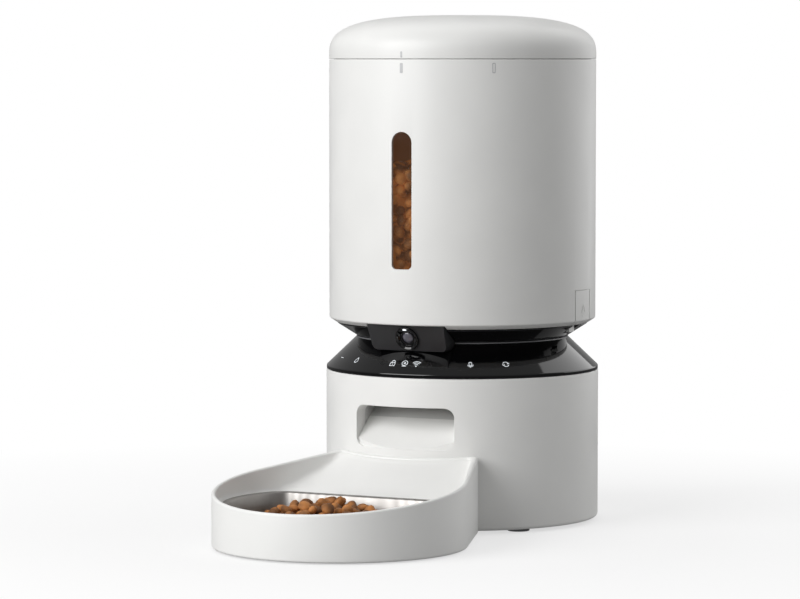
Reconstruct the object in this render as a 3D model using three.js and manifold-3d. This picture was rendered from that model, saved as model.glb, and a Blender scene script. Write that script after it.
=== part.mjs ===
// Automatic pet feeder: a round base with the dispenser inside, a lift-off food tank with a
// twist lid, and a bowl tray that hooks into the front. Millimetres, +Z up, the bowl to -Y.
import * as THREE from "three";
import { mergeVertices } from "three/addons/utils/BufferGeometryUtils.js";
import Module from "manifold-3d";

const wasm = await Module();
wasm.setup();

// ---- Driving dimensions ----
const BODY_RADIUS = 100; // round base housing
const BASE_HEIGHT = 110.8; // top edge of the white base housing
const WAIST_INSET = 22.8; // how far the waist is drawn in from the housing
const WAIST_RISE = 24.4; // waist above the housing's top edge
const CUP_FLARE = 15.8; // the neck cup opens by this much above the waist
const CUP_RISE = 10.2;
const TANK_INSET = 2.2; // the tank is this much slimmer than the base
const TANK_HEIGHT = 192; // tank, from its bottom lip to the lid seam
const LID_RISE = 31.8; // dome above the seam
const TRAY_REACH = 279; // front of the tray from the body's axis
const TRAY_RADIUS = 89; // round front of the tray
const TRAY_REAR_HALF_WIDTH = 55; // where the flanks meet the base

const WALL = 2.5; // moulded casings
const GAP = 0.3; // pieces that touch
const SLIDE_GAP = 0.6; // pieces that move past each other
const ROUND = 40; // facets round the large pieces
const SMALL_ROUND = 16;

const FOOT_HEIGHT = 2.5;
const FOOT_RADIUS = 8;
const FOOT_OFFSET = [70, 50];
const PLATE_THICKNESS = 3;
const HOUSING_BOTTOM = FOOT_HEIGHT - 0.2;
const BOTTOM_ROUNDING = 3;

const OPENING_WIDTH = 78.6; // food opening in the housing's front
const OPENING_BOTTOM = 60;
const OPENING_TOP = 90;
const OPENING_CORNER = 7;
const CHUTE_SLOPE = 37; // degrees
const OUTLET_NEAR = 30; // outlet in the rotor housing's floor, from the axis
const OUTLET_FAR = 60;
const OUTLET_HALF_WIDTH = 20;

const BATTERY_RADIUS = 17.1; // three D cells
const BATTERY_LENGTH = 61.5;
const BATTERY_COUNT = 3;
const CONTACT_THICKNESS = 1.2;
const BATTERY_WALL = 2;
const COVER_TRAVEL = 8; // the battery cover slides back this far

const SHAFT_RADIUS = 4;
const GEAR_MODULE = 1;
const WHEEL_TEETH = 40;
const PINION_TEETH = 16;
const GEAR_THICKNESS = 6;
const WHEEL_VANES = 6;
const WHEEL_HEIGHT = 21;
const MOTOR_RADIUS = 12;
const MOTOR_LENGTH = 38;
const DECK_THICKNESS = 3;
const ROTOR_HOUSING_HEIGHT = 32;

const CAMERA_TOP_HALF_WIDTH = 31;
const CAMERA_BOTTOM_HALF_WIDTH = 29.4;
const CAMERA_HEIGHT = 18.7;
const CAMERA_LEAN = 8; // the face's top edge stands this far in front of its bottom edge
const LENS_RADIUS = 5.3;
const BEZEL_RADIUS = 9;

const WINDOW_WIDTH = 16;
const WINDOW_RISE = 42.6; // bottom of the window above the tank's bottom lip
const WINDOW_LENGTH = 98;
const WINDOW_CORNER = 3.5;
const WINDOW_FLANGE = 3;

const TAB_HALF_ANGLE = 7.5; // degrees
const TAB_TOP_RISE = 25.5; // above the tank's bottom lip
const TAB_LUG_WIDTH = 9;

const TRAY_WALL = 3;
const TRAY_BOTTOM = 1;
const TRAY_ROUNDING = 2;
const TRAY_FRONT_HEIGHT = 33.3; // the rim slopes up to the back
const TRAY_REAR_HEIGHT = 54.6;
const RAMP_FRONT_HEIGHT = 31.5;
const BOWL_RADIUS = 82; // over the rim
const BOWL_CORNER = 18;
const BOWL_RIM = 3; // width of the rim that the tray's ledge carries
const BOWL_RIM_HEIGHT = 31.5;
const BOWL_BOTTOM = 6;
const STEEL = 1.2;
const TRAY_CURVE = 11; // facets along the tray's arcs, halved
const BOWL_CURVE = 8;
const HOOK_WIDTH = 14;
const HOOK_OFFSET = 30;
const HOOK_LENGTH = 7;
const HOOK_HEIGHT = [18, 26];

// ---- Worked out from the driving dimensions ----
const rad = THREE.MathUtils.degToRad;
const TANK_RADIUS = BODY_RADIUS - TANK_INSET;
const WAIST_RADIUS = BODY_RADIUS - WAIST_INSET;
const WAIST_HEIGHT = BASE_HEIGHT + WAIST_RISE;
const CUP_RADIUS = WAIST_RADIUS + CUP_FLARE;
const CUP_TOP = WAIST_HEIGHT + CUP_RISE;
const TANK_BOTTOM = CUP_TOP + GAP;
const TANK_TOP = TANK_BOTTOM + TANK_HEIGHT;
const HOUSING_INNER = BODY_RADIUS - WALL;
const TANK_INNER = TANK_RADIUS - WALL;
const TRAY_CENTRE = -(TRAY_REACH - TRAY_RADIUS);
const PLATE_TOP = FOOT_HEIGHT + GAP + PLATE_THICKNESS;
const RING_BOTTOM = BASE_HEIGHT + GAP;
const DECK_TOP = BASE_HEIGHT - 8.3;
const GEAR_BOTTOM = DECK_TOP + 2.5;
const ROTOR_FLOOR = BASE_HEIGHT + 3.2;
const ROTOR_FLOOR_TOP = ROTOR_FLOOR + WALL;
const ROTOR_OUTER = WAIST_RADIUS - WALL - 5;
const ROTOR_INNER = ROTOR_OUTER - WALL;
const ROTOR_TOP = ROTOR_FLOOR + ROTOR_HOUSING_HEIGHT;
const WHEEL_BOTTOM = ROTOR_FLOOR_TOP + SLIDE_GAP;
const WHEEL_TOP = WHEEL_BOTTOM + WHEEL_HEIGHT;
const WIPER_BOTTOM = WHEEL_TOP + 1;
const WIPER_THICKNESS = 2;
const SPOUT_BOTTOM = WIPER_BOTTOM + WIPER_THICKNESS + 1;
const SPOUT_OUTER = ROTOR_INNER - 3;
const FUNNEL_FOOT = TANK_BOTTOM + 6.3;
const FUNNEL_TOP = TANK_BOTTOM + WINDOW_RISE - WINDOW_FLANGE - 1.5;
const TOTAL_DEPTH = TRAY_REACH + BODY_RADIUS;

const SCREW_HEAD_RADIUS = 3.2;
const SCREW_SHANK_RADIUS = 1.5;
const SCREW_LENGTH = 12;
const SCREW_BOSS_RADIUS = 4.5;
const SCREW_BOSS_TOP = 30;
const JACK_HEIGHT = 18;
const JACK_HOLE_RADIUS = 4.5;
const SPEAKER_RADIUS = 18;
const SPEAKER_HEIGHT = 75;
const GRILLE_SLOTS = 5;
const OPENING_MARGIN = 2;
const AGITATOR_TOP = WHEEL_TOP + 24;
const SHAFT_TOP = WHEEL_TOP + 12;
const RING_LIP = 2.5; // upright edge below the control ring's cone
const RING_RADIUS = BODY_RADIUS - 0.2;
const CONE_BOTTOM = RING_BOTTOM + RING_LIP;
const SEAM_THICKNESS = 0.6;
const CONE_TOP = WAIST_HEIGHT - SEAM_THICKNESS - GAP;
const CONE_WALL = 3.5; // measured level, so about WALL square to the slope
const LUG_REACH = 5; // the release tabs' lugs hang this far into the neck cup
const LAMP_RADIUS = 0.8;
const TAB_GROOVE = 0.8;
const LID_BOTTOM = TANK_TOP + GAP;
const LID_RADIUS = TANK_RADIUS + 0.1;
const LID_BAND = 2;
const LID_FULLNESS = 3; // exponent of the dome's rounded-square curve
const DOME_STEPS = 7;
const PLUG_RADIUS = TANK_INNER - 1;
const PLUG_TOP = LID_BOTTOM + 0.4;
const PLUG_DEPTH = 16;
const SEAL_GROOVE = [8, 11.6]; // below the plug's top
const DESICCANT_RADIUS = 32;
const DESICCANT_DEPTH = 20;

// ---- Solids ----

// A closed geometry as a manifold-3d solid, with its faces outwards.
function solid(geometry) {
  const bare = geometry.clone();
  bare.deleteAttribute("normal");
  bare.deleteAttribute("uv");
  const merged = mergeVertices(bare, 1e-4);
  const corners = new Uint32Array(merged.index.array);
  const mesh = { numProp: 3, vertProperties: merged.attributes.position.array, triVerts: corners };
  const made = new wasm.Manifold(new wasm.Mesh(mesh));
  if (made.volume() > 0) return made;
  for (let i = 0; i < corners.length; i += 3) {
    [corners[i + 1], corners[i + 2]] = [corners[i + 2], corners[i + 1]];
  }
  return new wasm.Manifold(new wasm.Mesh(mesh));
}

function geometryOf(made) {
  const mesh = made.getMesh();
  const geometry = new THREE.BufferGeometry();
  geometry.setAttribute("position", new THREE.BufferAttribute(mesh.vertProperties, 3));
  geometry.setIndex(new THREE.BufferAttribute(mesh.triVerts, 1));
  geometry.computeVertexNormals();
  return geometry;
}

// A profile of [radius, height] points turned about Z; it closes on itself unless it ends on the axis.
function turned(profile, facets = ROUND) {
  const points = profile.map(([r, z]) => new THREE.Vector2(r, z));
  const onAxis = profile[0][0] === 0 && profile[profile.length - 1][0] === 0;
  if (!onAxis) points.push(points[0].clone());
  return solid(new THREE.LatheGeometry(points, facets).rotateX(Math.PI / 2));
}

function disc(radius, bottom, top, facets = SMALL_ROUND) {
  return turned([[0, bottom], [radius, bottom], [radius, top], [0, top]], facets);
}

function ring(inner, outer, bottom, top, facets = ROUND) {
  return turned([[inner, bottom], [outer, bottom], [outer, top], [inner, top]], facets);
}

function box([x0, x1], [y0, y1], [z0, z1]) {
  const geometry = new THREE.BoxGeometry(x1 - x0, y1 - y0, z1 - z0);
  return solid(geometry.translate((x0 + x1) / 2, (y0 + y1) / 2, (z0 + z1) / 2));
}

function raised(shape, bottom, top, curveSegments = 12) {
  const options = { depth: top - bottom, bevelEnabled: false, curveSegments };
  return solid(new THREE.ExtrudeGeometry(shape, options).translate(0, 0, bottom));
}

function polygon(points) {
  return new THREE.Shape(points.map(([x, y]) => new THREE.Vector2(x, y)));
}

// A side profile of [y, z] points, carried across from x0 to x1.
function across(points, x0, x1) {
  const options = { depth: x1 - x0, bevelEnabled: false };
  const geometry = new THREE.ExtrudeGeometry(polygon(points), options);
  const turn = new THREE.Matrix4().makeBasis(
    new THREE.Vector3(0, 1, 0),
    new THREE.Vector3(0, 0, 1),
    new THREE.Vector3(1, 0, 0),
  );
  return solid(geometry.applyMatrix4(turn).translate(x0, 0, 0));
}

// A front outline of [x, z] points as a shape, carried back from y0 to y1.
function through(shape, y0, y1) {
  const options = { depth: y1 - y0, bevelEnabled: false, curveSegments: 6 };
  const geometry = new THREE.ExtrudeGeometry(shape, options);
  return solid(geometry.rotateX(Math.PI / 2).translate(0, y1, 0));
}

function roundedRectangle(width, bottom, top, lower, upper = lower) {
  const half = width / 2;
  const shape = new THREE.Shape();
  shape.moveTo(-half + lower, bottom);
  shape.lineTo(half - lower, bottom);
  shape.absarc(half - lower, bottom + lower, lower, -Math.PI / 2, 0);
  shape.absarc(half - upper, top - upper, upper, 0, Math.PI / 2);
  shape.absarc(-half + upper, top - upper, upper, Math.PI / 2, Math.PI);
  shape.absarc(-half + lower, bottom + lower, lower, Math.PI, Math.PI * 1.5);
  return shape;
}

// ---- The assembly ----
const tower = new THREE.Group();
tower.position.y = TOTAL_DEPTH / 2 - BODY_RADIUS;
const feeder = new THREE.Group();
feeder.add(tower);

const finishes = {
  white: { color: 0xf0f0ee, roughness: 0.42 },
  lightGrey: { color: 0xd8d8d6, roughness: 0.5 },
  blackGloss: { color: 0x0b0b0c, roughness: 0.08 },
  darkGrey: { color: 0x303032, roughness: 0.45 },
  trimGrey: { color: 0x8c8c8e, roughness: 0.4 },
  tint: { color: 0x3c4148, roughness: 0.1, transparent: true, opacity: 0.7 },
  steel: { color: 0xc9c8c6, roughness: 0.25, metalness: 1 },
  rubber: { color: 0x3a3a3a, roughness: 0.85 },
  silicone: { color: 0xd9dde0, roughness: 0.6 },
  gearPlastic: { color: 0xe8e2d0, roughness: 0.45 },
  board: { color: 0x1f5a36, roughness: 0.5 },
  zinc: { color: 0xb8bcc0, roughness: 0.35, metalness: 1 },
  cell: { color: 0x8a6a3c, roughness: 0.4 },
  glass: { color: 0x0d1016, roughness: 0.03 },
  lamp: { color: 0xf4f7ff, roughness: 0.3 },
};

function add(name, made, finish, parent = tower) {
  const material = new THREE.MeshStandardMaterial(finishes[finish]);
  const mesh = new THREE.Mesh(geometryOf(made), material);
  mesh.name = name;
  parent.add(mesh);
}

// ---- Base: feet, plate, battery bay ----
function footPlaces() {
  const [x, y] = FOOT_OFFSET;
  return [[-x, -y], [x, -y], [x, y], [-x, y]];
}

function screwPlaces() {
  const reach = (HOUSING_INNER - SCREW_BOSS_RADIUS - 2) * Math.SQRT1_2;
  return [[-reach, -reach], [reach, -reach], [reach, reach], [-reach, reach]];
}

const bayHalfWidth = BATTERY_COUNT * BATTERY_RADIUS + 1.5;
const bayHalfLength = BATTERY_LENGTH / 2 + CONTACT_THICKNESS + 2;
const coverHalfWidth = bayHalfWidth - 2;
const coverHalfLength = bayHalfLength - 2;
const coverTop = PLATE_TOP - 0.6;
const batteryAxis = PLATE_TOP + 0.6 + BATTERY_RADIUS;
const bayRoof = batteryAxis + BATTERY_RADIUS + 0.6;

function basePlate() {
  const bottom = FOOT_HEIGHT + GAP;
  let plate = disc(HOUSING_INNER - GAP, bottom, PLATE_TOP, ROUND);
  const side = coverHalfWidth + SLIDE_GAP;
  const ends = [-coverHalfLength - SLIDE_GAP, coverHalfLength + SLIDE_GAP + COVER_TRAVEL];
  plate = plate.subtract(box([-side, side], ends, [bottom - 1, PLATE_TOP + 1]));
  for (const [x, y] of screwPlaces()) {
    plate = plate.subtract(disc(SCREW_SHANK_RADIUS + GAP, bottom - 1, PLATE_TOP + 1).translate(x, y, 0));
    const seat = bottom + 1.6 + GAP;
    plate = plate.subtract(disc(SCREW_HEAD_RADIUS + GAP, bottom - 1, seat).translate(x, y, 0));
  }
  return plate;
}

function batteryCover() {
  const bottom = FOOT_HEIGHT + GAP;
  const plan = [-coverHalfWidth, coverHalfWidth];
  let cover = box(plan, [-coverHalfLength, coverHalfLength], [bottom, coverTop]);
  for (let i = 0; i < 4; i += 1) {
    const y = -coverHalfLength + 8 + 4 * i;
    cover = cover.subtract(box([-12, 12], [y, y + 2], [bottom - 1, bottom + 0.6]));
  }
  return cover;
}

function batteryBox() {
  const outerX = bayHalfWidth + BATTERY_WALL;
  const outerY = bayHalfLength + BATTERY_WALL;
  const bottom = PLATE_TOP + GAP;
  const shell = box([-outerX, outerX], [-outerY, outerY], [bottom, bayRoof + BATTERY_WALL]);
  const inside = box([-bayHalfWidth, bayHalfWidth], [-bayHalfLength, bayHalfLength], [bottom - 1, bayRoof]);
  return shell.subtract(inside);
}

function battery(index) {
  const terminal = 1.5;
  const half = BATTERY_LENGTH / 2;
  const can = turned([
    [0, -half], [BATTERY_RADIUS - 1, -half], [BATTERY_RADIUS, -half + 1],
    [BATTERY_RADIUS, half - terminal - 1], [BATTERY_RADIUS - 1, half - terminal],
    [5, half - terminal], [5, half], [0, half],
  ], SMALL_ROUND);
  const x = (index - (BATTERY_COUNT - 1) / 2) * (2 * BATTERY_RADIUS + 0.8);
  const facing = index % 2 ? 90 : -90;
  return can.rotate([facing, 0, 0]).translate(x, 0, batteryAxis);
}

function batteryContact(side) {
  const face = side * (BATTERY_LENGTH / 2 + GAP);
  const back = face + side * CONTACT_THICKNESS;
  const span = [Math.min(face, back), Math.max(face, back)];
  const half = bayHalfWidth - GAP;
  return box([-half, half], span, [batteryAxis - 8, batteryAxis + 8]);
}

function baseScrew([x, y]) {
  const headBottom = FOOT_HEIGHT + GAP + 0.2;
  const headTop = headBottom + 1.4;
  return turned([
    [0, headBottom], [SCREW_HEAD_RADIUS, headBottom], [SCREW_HEAD_RADIUS, headTop],
    [SCREW_SHANK_RADIUS, headTop], [SCREW_SHANK_RADIUS, headTop + SCREW_LENGTH],
    [0, headTop + SCREW_LENGTH],
  ], 10).translate(x, y, 0);
}

// ---- Base housing ----

function baseHousing() {
  const rim = HOUSING_BOTTOM + BOTTOM_ROUNDING;
  const low = BODY_RADIUS - BOTTOM_ROUNDING * 0.3;
  const ledgeTop = DECK_TOP - DECK_THICKNESS - GAP;
  let housing = turned([
    [HOUSING_INNER, HOUSING_BOTTOM], [BODY_RADIUS - 1.6, HOUSING_BOTTOM],
    [low, HOUSING_BOTTOM + BOTTOM_ROUNDING * 0.3], [BODY_RADIUS, rim],
    [BODY_RADIUS, BASE_HEIGHT], [HOUSING_INNER, BASE_HEIGHT], [HOUSING_INNER, ledgeTop],
    [HOUSING_INNER - 3, ledgeTop], [HOUSING_INNER, ledgeTop - 4],
  ]);
  for (const [x, y] of screwPlaces()) {
    const boss = disc(SCREW_BOSS_RADIUS, PLATE_TOP + GAP, SCREW_BOSS_TOP).translate(x, y, 0);
    const outward = Math.SQRT1_2 * (SCREW_BOSS_RADIUS + 2);
    const web = disc(SCREW_BOSS_RADIUS, PLATE_TOP + GAP, SCREW_BOSS_TOP)
      .translate(x + Math.sign(x) * outward, y + Math.sign(y) * outward, 0)
      .intersect(disc(HOUSING_INNER + 1, 0, BASE_HEIGHT, ROUND));
    const hole = disc(SCREW_SHANK_RADIUS + GAP, 0, PLATE_TOP + SCREW_LENGTH + 1).translate(x, y, 0);
    housing = housing.add(boss).add(web).subtract(hole);
  }
  const opening = roundedRectangle(OPENING_WIDTH, OPENING_BOTTOM, OPENING_TOP, OPENING_CORNER);
  housing = housing.subtract(through(opening, -BODY_RADIUS - 5, -BODY_RADIUS / 2));
  for (const side of [-1, 1]) {
    const wide = HOOK_WIDTH / 2 + SLIDE_GAP;
    const x = side * HOOK_OFFSET;
    const height = [HOOK_HEIGHT[0] - SLIDE_GAP, HOOK_HEIGHT[1] + SLIDE_GAP];
    housing = housing.subtract(box([x - wide, x + wide], [-BODY_RADIUS - 5, -BODY_RADIUS / 2], height));
  }
  const jack = disc(JACK_HOLE_RADIUS, 0, 20).rotate([-90, 0, 0]);
  housing = housing.subtract(jack.translate(0, BODY_RADIUS - 10, JACK_HEIGHT));
  for (let i = 0; i < GRILLE_SLOTS; i += 1) {
    const z = SPEAKER_HEIGHT + (i - (GRILLE_SLOTS - 1) / 2) * 5;
    const half = Math.sqrt(14 ** 2 - (z - SPEAKER_HEIGHT) ** 2);
    housing = housing.subtract(box([-half, half], [BODY_RADIUS / 2, BODY_RADIUS + 5], [z - 1, z + 1]));
  }
  return housing;
}

// ---- Food path ----
const chuteHalfWidth = OPENING_WIDTH / 2;
const chuteBack = OUTLET_NEAR - OPENING_MARGIN;
const chuteTop = ROTOR_FLOOR - GAP;

function chuteProfile(grow) {
  const front = BODY_RADIUS + 5;
  const fall = Math.tan(rad(CHUTE_SLOPE));
  const down = grow / Math.cos(rad(CHUTE_SLOPE));
  const top = grow > 0 ? chuteTop : chuteTop + 1;
  const mouth = HOUSING_INNER;
  const floorAt = (y) => OPENING_BOTTOM - down + (mouth - y) * fall;
  return [
    [-front, floorAt(mouth)], [-mouth, floorAt(mouth)],
    [-chuteBack + grow, Math.min(floorAt(chuteBack - grow), top - 2)], [-chuteBack + grow, top],
    [-OUTLET_FAR - OPENING_MARGIN - grow, top],
    [-OUTLET_FAR - OPENING_MARGIN - grow, OPENING_TOP + 6 + grow], [-front, OPENING_TOP + grow],
  ];
}

function foodChute() {
  const outer = across(chuteProfile(2), -chuteHalfWidth - 2, chuteHalfWidth + 2);
  const inner = across(chuteProfile(0), -chuteHalfWidth, chuteHalfWidth);
  const within = disc(HOUSING_INNER - GAP, 0, BASE_HEIGHT * 2, ROUND);
  return outer.subtract(inner).intersect(within);
}

function mechDeck() {
  let deck = disc(HOUSING_INNER - GAP, DECK_TOP - DECK_THICKNESS, DECK_TOP, ROUND);
  const side = chuteHalfWidth + 2 + SLIDE_GAP;
  deck = deck.subtract(box([-side, side], [-BODY_RADIUS - 5, -chuteBack + 2 + SLIDE_GAP], [0, BASE_HEIGHT * 2]));
  return deck.subtract(disc(6, 0, BASE_HEIGHT * 2).translate(0, gearDistance, 0));
}

// ---- Drive ----
const gearDistance = (GEAR_MODULE * (WHEEL_TEETH + PINION_TEETH)) / 2 + 0.4;

// A spur gear with straight-flanked teeth, thin enough to run with backlash.
function gear(teeth, bottom, top, turn) {
  const pitch = (GEAR_MODULE * teeth) / 2;
  const root = pitch - 1.15 * GEAR_MODULE;
  const tip = pitch + 0.85 * GEAR_MODULE;
  const step = (2 * Math.PI) / teeth;
  const points = [];
  for (let i = 0; i < teeth; i += 1) {
    const centre = i * step + turn;
    for (const [share, radius] of [[-0.3, root], [-0.12, tip], [0.12, tip], [0.3, root]]) {
      const angle = centre + share * step;
      points.push([radius * Math.cos(angle), radius * Math.sin(angle)]);
    }
  }
  return raised(polygon(points), bottom, top);
}

function driveGear() {
  const blank = gear(WHEEL_TEETH, GEAR_BOTTOM, GEAR_BOTTOM + GEAR_THICKNESS, 0);
  return blank.subtract(disc(SHAFT_RADIUS + GAP, 0, BASE_HEIGHT * 2));
}

function motorPinion() {
  const teeth = gear(PINION_TEETH, GEAR_BOTTOM, GEAR_BOTTOM + GEAR_THICKNESS, Math.PI / PINION_TEETH);
  const shaft = disc(2, DECK_TOP - DECK_THICKNESS, GEAR_BOTTOM + 1, 16);
  return teeth.add(shaft).translate(0, gearDistance, 0);
}

function motor() {
  const top = DECK_TOP - DECK_THICKNESS - GAP;
  const bottom = top - MOTOR_LENGTH;
  return turned([
    [0, bottom - 4], [4, bottom - 4], [4, bottom], [MOTOR_RADIUS - 1, bottom],
    [MOTOR_RADIUS, bottom + 1], [MOTOR_RADIUS, top - 12], [MOTOR_RADIUS + 3, top - 12],
    [MOTOR_RADIUS + 3, top], [0, top],
  ], SMALL_ROUND).translate(0, gearDistance, 0);
}

function wheelShaft() {
  return disc(SHAFT_RADIUS, DECK_TOP + GAP, SHAFT_TOP, 16);
}

function foodWheel() {
  const hub = ring(SHAFT_RADIUS + GAP, 10, WHEEL_BOTTOM, WHEEL_TOP, SMALL_ROUND);
  let wheel = hub;
  const reach = ROTOR_INNER - 1;
  for (let i = 0; i < WHEEL_VANES; i += 1) {
    const vane = box([9, reach], [-1.1, 1.1], [WHEEL_BOTTOM, WHEEL_TOP]);
    wheel = wheel.add(vane.rotate([0, 0, (i + 0.5) * (360 / WHEEL_VANES) - 90]));
  }
  return wheel;
}

function agitator() {
  const bottom = WHEEL_TOP + GAP;
  let stem = disc(7, bottom, AGITATOR_TOP);
  stem = stem.subtract(disc(SHAFT_RADIUS + GAP, bottom - 1, SHAFT_TOP + GAP));
  const reach = SPOUT_OUTER / 2;
  const arm = disc(2.5, -reach, reach, 12).rotate([0, 90, 0]).translate(0, 0, AGITATOR_TOP - 5);
  return stem.add(arm);
}

function rotorHousing() {
  const flange = WAIST_RADIUS - WALL - GAP - 0.4;
  let cup = turned([
    [SHAFT_RADIUS + SLIDE_GAP, ROTOR_FLOOR], [ROTOR_OUTER, ROTOR_FLOOR],
    [ROTOR_OUTER, WAIST_HEIGHT], [flange, WAIST_HEIGHT + 1.5], [flange, WAIST_HEIGHT + 3.5],
    [ROTOR_OUTER, WAIST_HEIGHT + 3.5], [ROTOR_OUTER, ROTOR_TOP], [ROTOR_INNER, ROTOR_TOP],
    [ROTOR_INNER, ROTOR_FLOOR_TOP], [SHAFT_RADIUS + SLIDE_GAP, ROTOR_FLOOR_TOP],
  ]);
  const outlet = [[-OUTLET_FAR, -OUTLET_NEAR], [ROTOR_FLOOR - 1, ROTOR_FLOOR_TOP + 1]];
  cup = cup.subtract(box([-OUTLET_HALF_WIDTH, OUTLET_HALF_WIDTH], ...outlet));
  const postReach = ROTOR_OUTER - 9;
  for (const angle of [10, 90, 170]) {
    const post = disc(4, DECK_TOP + GAP, ROTOR_FLOOR + 1, 16);
    cup = cup.add(post.translate(postReach * Math.cos(rad(angle)), postReach * Math.sin(rad(angle)), 0));
  }
  return cup.subtract(cameraPocket());
}

function wiper() {
  const top = WIPER_BOTTOM + WIPER_THICKNESS;
  const blade = ring(12, ROTOR_INNER - GAP, WIPER_BOTTOM, top);
  const spread = Math.tan(rad(42)) * BODY_RADIUS;
  const sector = raised(polygon([[0, 0], [-spread, -BODY_RADIUS], [spread, -BODY_RADIUS]]), 0, TANK_TOP);
  return blade.intersect(sector);
}

// ---- Neck and controls ----
const coneRun = (RING_RADIUS - WAIST_RADIUS) / (WAIST_HEIGHT - CONE_BOTTOM);
const coneRadius = (z) => RING_RADIUS - (z - CONE_BOTTOM) * coneRun;

function controlRing() {
  const shell = turned([
    [RING_RADIUS - CONE_WALL, RING_BOTTOM], [RING_RADIUS, RING_BOTTOM],
    [RING_RADIUS, CONE_BOTTOM], [coneRadius(CONE_TOP), CONE_TOP],
    [coneRadius(CONE_TOP) - CONE_WALL, CONE_TOP], [RING_RADIUS - CONE_WALL, CONE_BOTTOM],
  ]);
  return shell.subtract(cameraPocket());
}

function waistSeam() {
  const band = ring(WAIST_RADIUS - WALL, WAIST_RADIUS + 0.4, WAIST_HEIGHT - SEAM_THICKNESS, WAIST_HEIGHT);
  return band.subtract(cameraPocket());
}

const lugNotch = LUG_REACH + 1;

function neckCup() {
  let cup = turned([
    [WAIST_RADIUS - WALL, WAIST_HEIGHT + GAP], [WAIST_RADIUS, WAIST_HEIGHT + GAP],
    [CUP_RADIUS, CUP_TOP], [CUP_RADIUS - WALL, CUP_TOP],
  ]);
  cup = cup.subtract(cameraPocket());
  const wide = TAB_LUG_WIDTH / 2 + SLIDE_GAP;
  for (const side of [-1, 1]) {
    const ends = [side * (CUP_RADIUS - 14), side * (CUP_RADIUS + 5)].sort((a, b) => a - b);
    cup = cup.subtract(box(ends, [-wide, wide], [CUP_TOP - lugNotch, CUP_TOP + 5]));
  }
  return cup;
}

function controlBoard() {
  const bottom = CONE_BOTTOM + 2;
  const top = bottom + 12;
  const near = CONE_WALL + 0.6;
  const band = turned([
    [coneRadius(bottom) - near - 1.8, bottom], [coneRadius(bottom) - near, bottom],
    [coneRadius(top) - near, top], [coneRadius(top) - near - 1.8, top],
  ]);
  const spread = Math.tan(rad(58)) * BODY_RADIUS;
  const sector = raised(polygon([[0, 0], [-spread, -BODY_RADIUS], [spread, -BODY_RADIUS]]), 0, TANK_TOP);
  return band.intersect(sector);
}

function microphone() {
  const reach = coneRadius(CONE_BOTTOM + 5) - CONE_WALL - 6;
  const capsule = disc(3, CONE_BOTTOM + 1, CONE_BOTTOM + 3.2, 16);
  return capsule.translate(reach * Math.sin(rad(30)), -reach * Math.cos(rad(30)), 0);
}

// ---- Electronics in the base ----
function mainBoard() {
  const y = gearDistance + MOTOR_RADIUS + 22;
  const top = DECK_TOP - DECK_THICKNESS - 4;
  let board = box([-42, 42], [y, y + 1.6], [top - 46, top]);
  const parts = [[-30, -14, 12], [-6, 6, 14], [14, 20, 8], [24, 34, 10]];
  for (const [x0, x1, tall] of parts) {
    board = board.add(box([x0, x1], [y - 3, y + 0.2], [top - 10 - tall, top - 10]));
  }
  return board;
}

function speaker() {
  const face = Math.sqrt(HOUSING_INNER ** 2 - SPEAKER_RADIUS ** 2) - 1.5;
  const cone = turned([
    [0, 0], [SPEAKER_RADIUS * 0.5, 0], [SPEAKER_RADIUS * 0.5, 6], [SPEAKER_RADIUS, 9],
    [SPEAKER_RADIUS, 12], [SPEAKER_RADIUS - 2, 12], [5, 8], [0, 8],
  ], SMALL_ROUND);
  return cone.rotate([-90, 0, 0]).translate(0, face - 12, SPEAKER_HEIGHT);
}

function powerInlet() {
  const face = HOUSING_INNER - 1;
  const block = box([-5, 5], [face - 14, face], [JACK_HEIGHT - 5.5, JACK_HEIGHT + 5.5]);
  const socket = ring(1, 2.75, 0, 9, 16).rotate([-90, 0, 0]).translate(0, face - 8.5, JACK_HEIGHT);
  return block.subtract(socket);
}

function foodSensor(side) {
  const near = side * (chuteHalfWidth + 2 + GAP);
  const ends = [near, near + side * 5].sort((a, b) => a - b);
  const y = -HOUSING_INNER + 18;
  return box(ends, [y, y + 7], [OPENING_TOP - 12, OPENING_TOP - 4]);
}

// ---- Camera ----
const cameraBottom = WAIST_HEIGHT - 6;
const cameraTop = cameraBottom + CAMERA_HEIGHT;
const cameraFaceBottom = WAIST_RADIUS + 7.2;
const cameraFaceTop = cameraFaceBottom + CAMERA_LEAN;
const cameraBack = WAIST_RADIUS - WALL - 2.7;
const cameraTilt = Math.atan2(CAMERA_LEAN, CAMERA_HEIGHT);

// Front view of the housing, grown all round.
function cameraOutline(grow) {
  const corner = 4 + grow;
  const low = CAMERA_BOTTOM_HALF_WIDTH + grow;
  const high = CAMERA_TOP_HALF_WIDTH + grow;
  const front = new THREE.Shape();
  front.moveTo(-high, cameraTop + grow + 1);
  front.lineTo(-low, cameraBottom - grow + corner);
  front.absarc(-low + corner, cameraBottom - grow + corner, corner, Math.PI, Math.PI * 1.5);
  front.absarc(low - corner, cameraBottom - grow + corner, corner, -Math.PI / 2, 0);
  front.lineTo(high, cameraTop + grow + 1);
  return front;
}

function cameraSolid(grow, extraDepth = 0) {
  const back = -cameraBack + extraDepth;
  const profile = across([
    [-cameraFaceBottom - grow, cameraBottom - grow], [-cameraFaceTop - grow, cameraTop + grow],
    [back, cameraTop + grow], [back, cameraBottom - grow],
  ], -BODY_RADIUS, BODY_RADIUS);
  return profile.intersect(through(cameraOutline(grow), -BODY_RADIUS - 10, 0));
}

// The gap that the neck's pieces leave for the camera housing.
function cameraPocket() {
  return through(cameraOutline(SLIDE_GAP), -BODY_RADIUS - 10, -cameraBack + 30);
}

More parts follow.
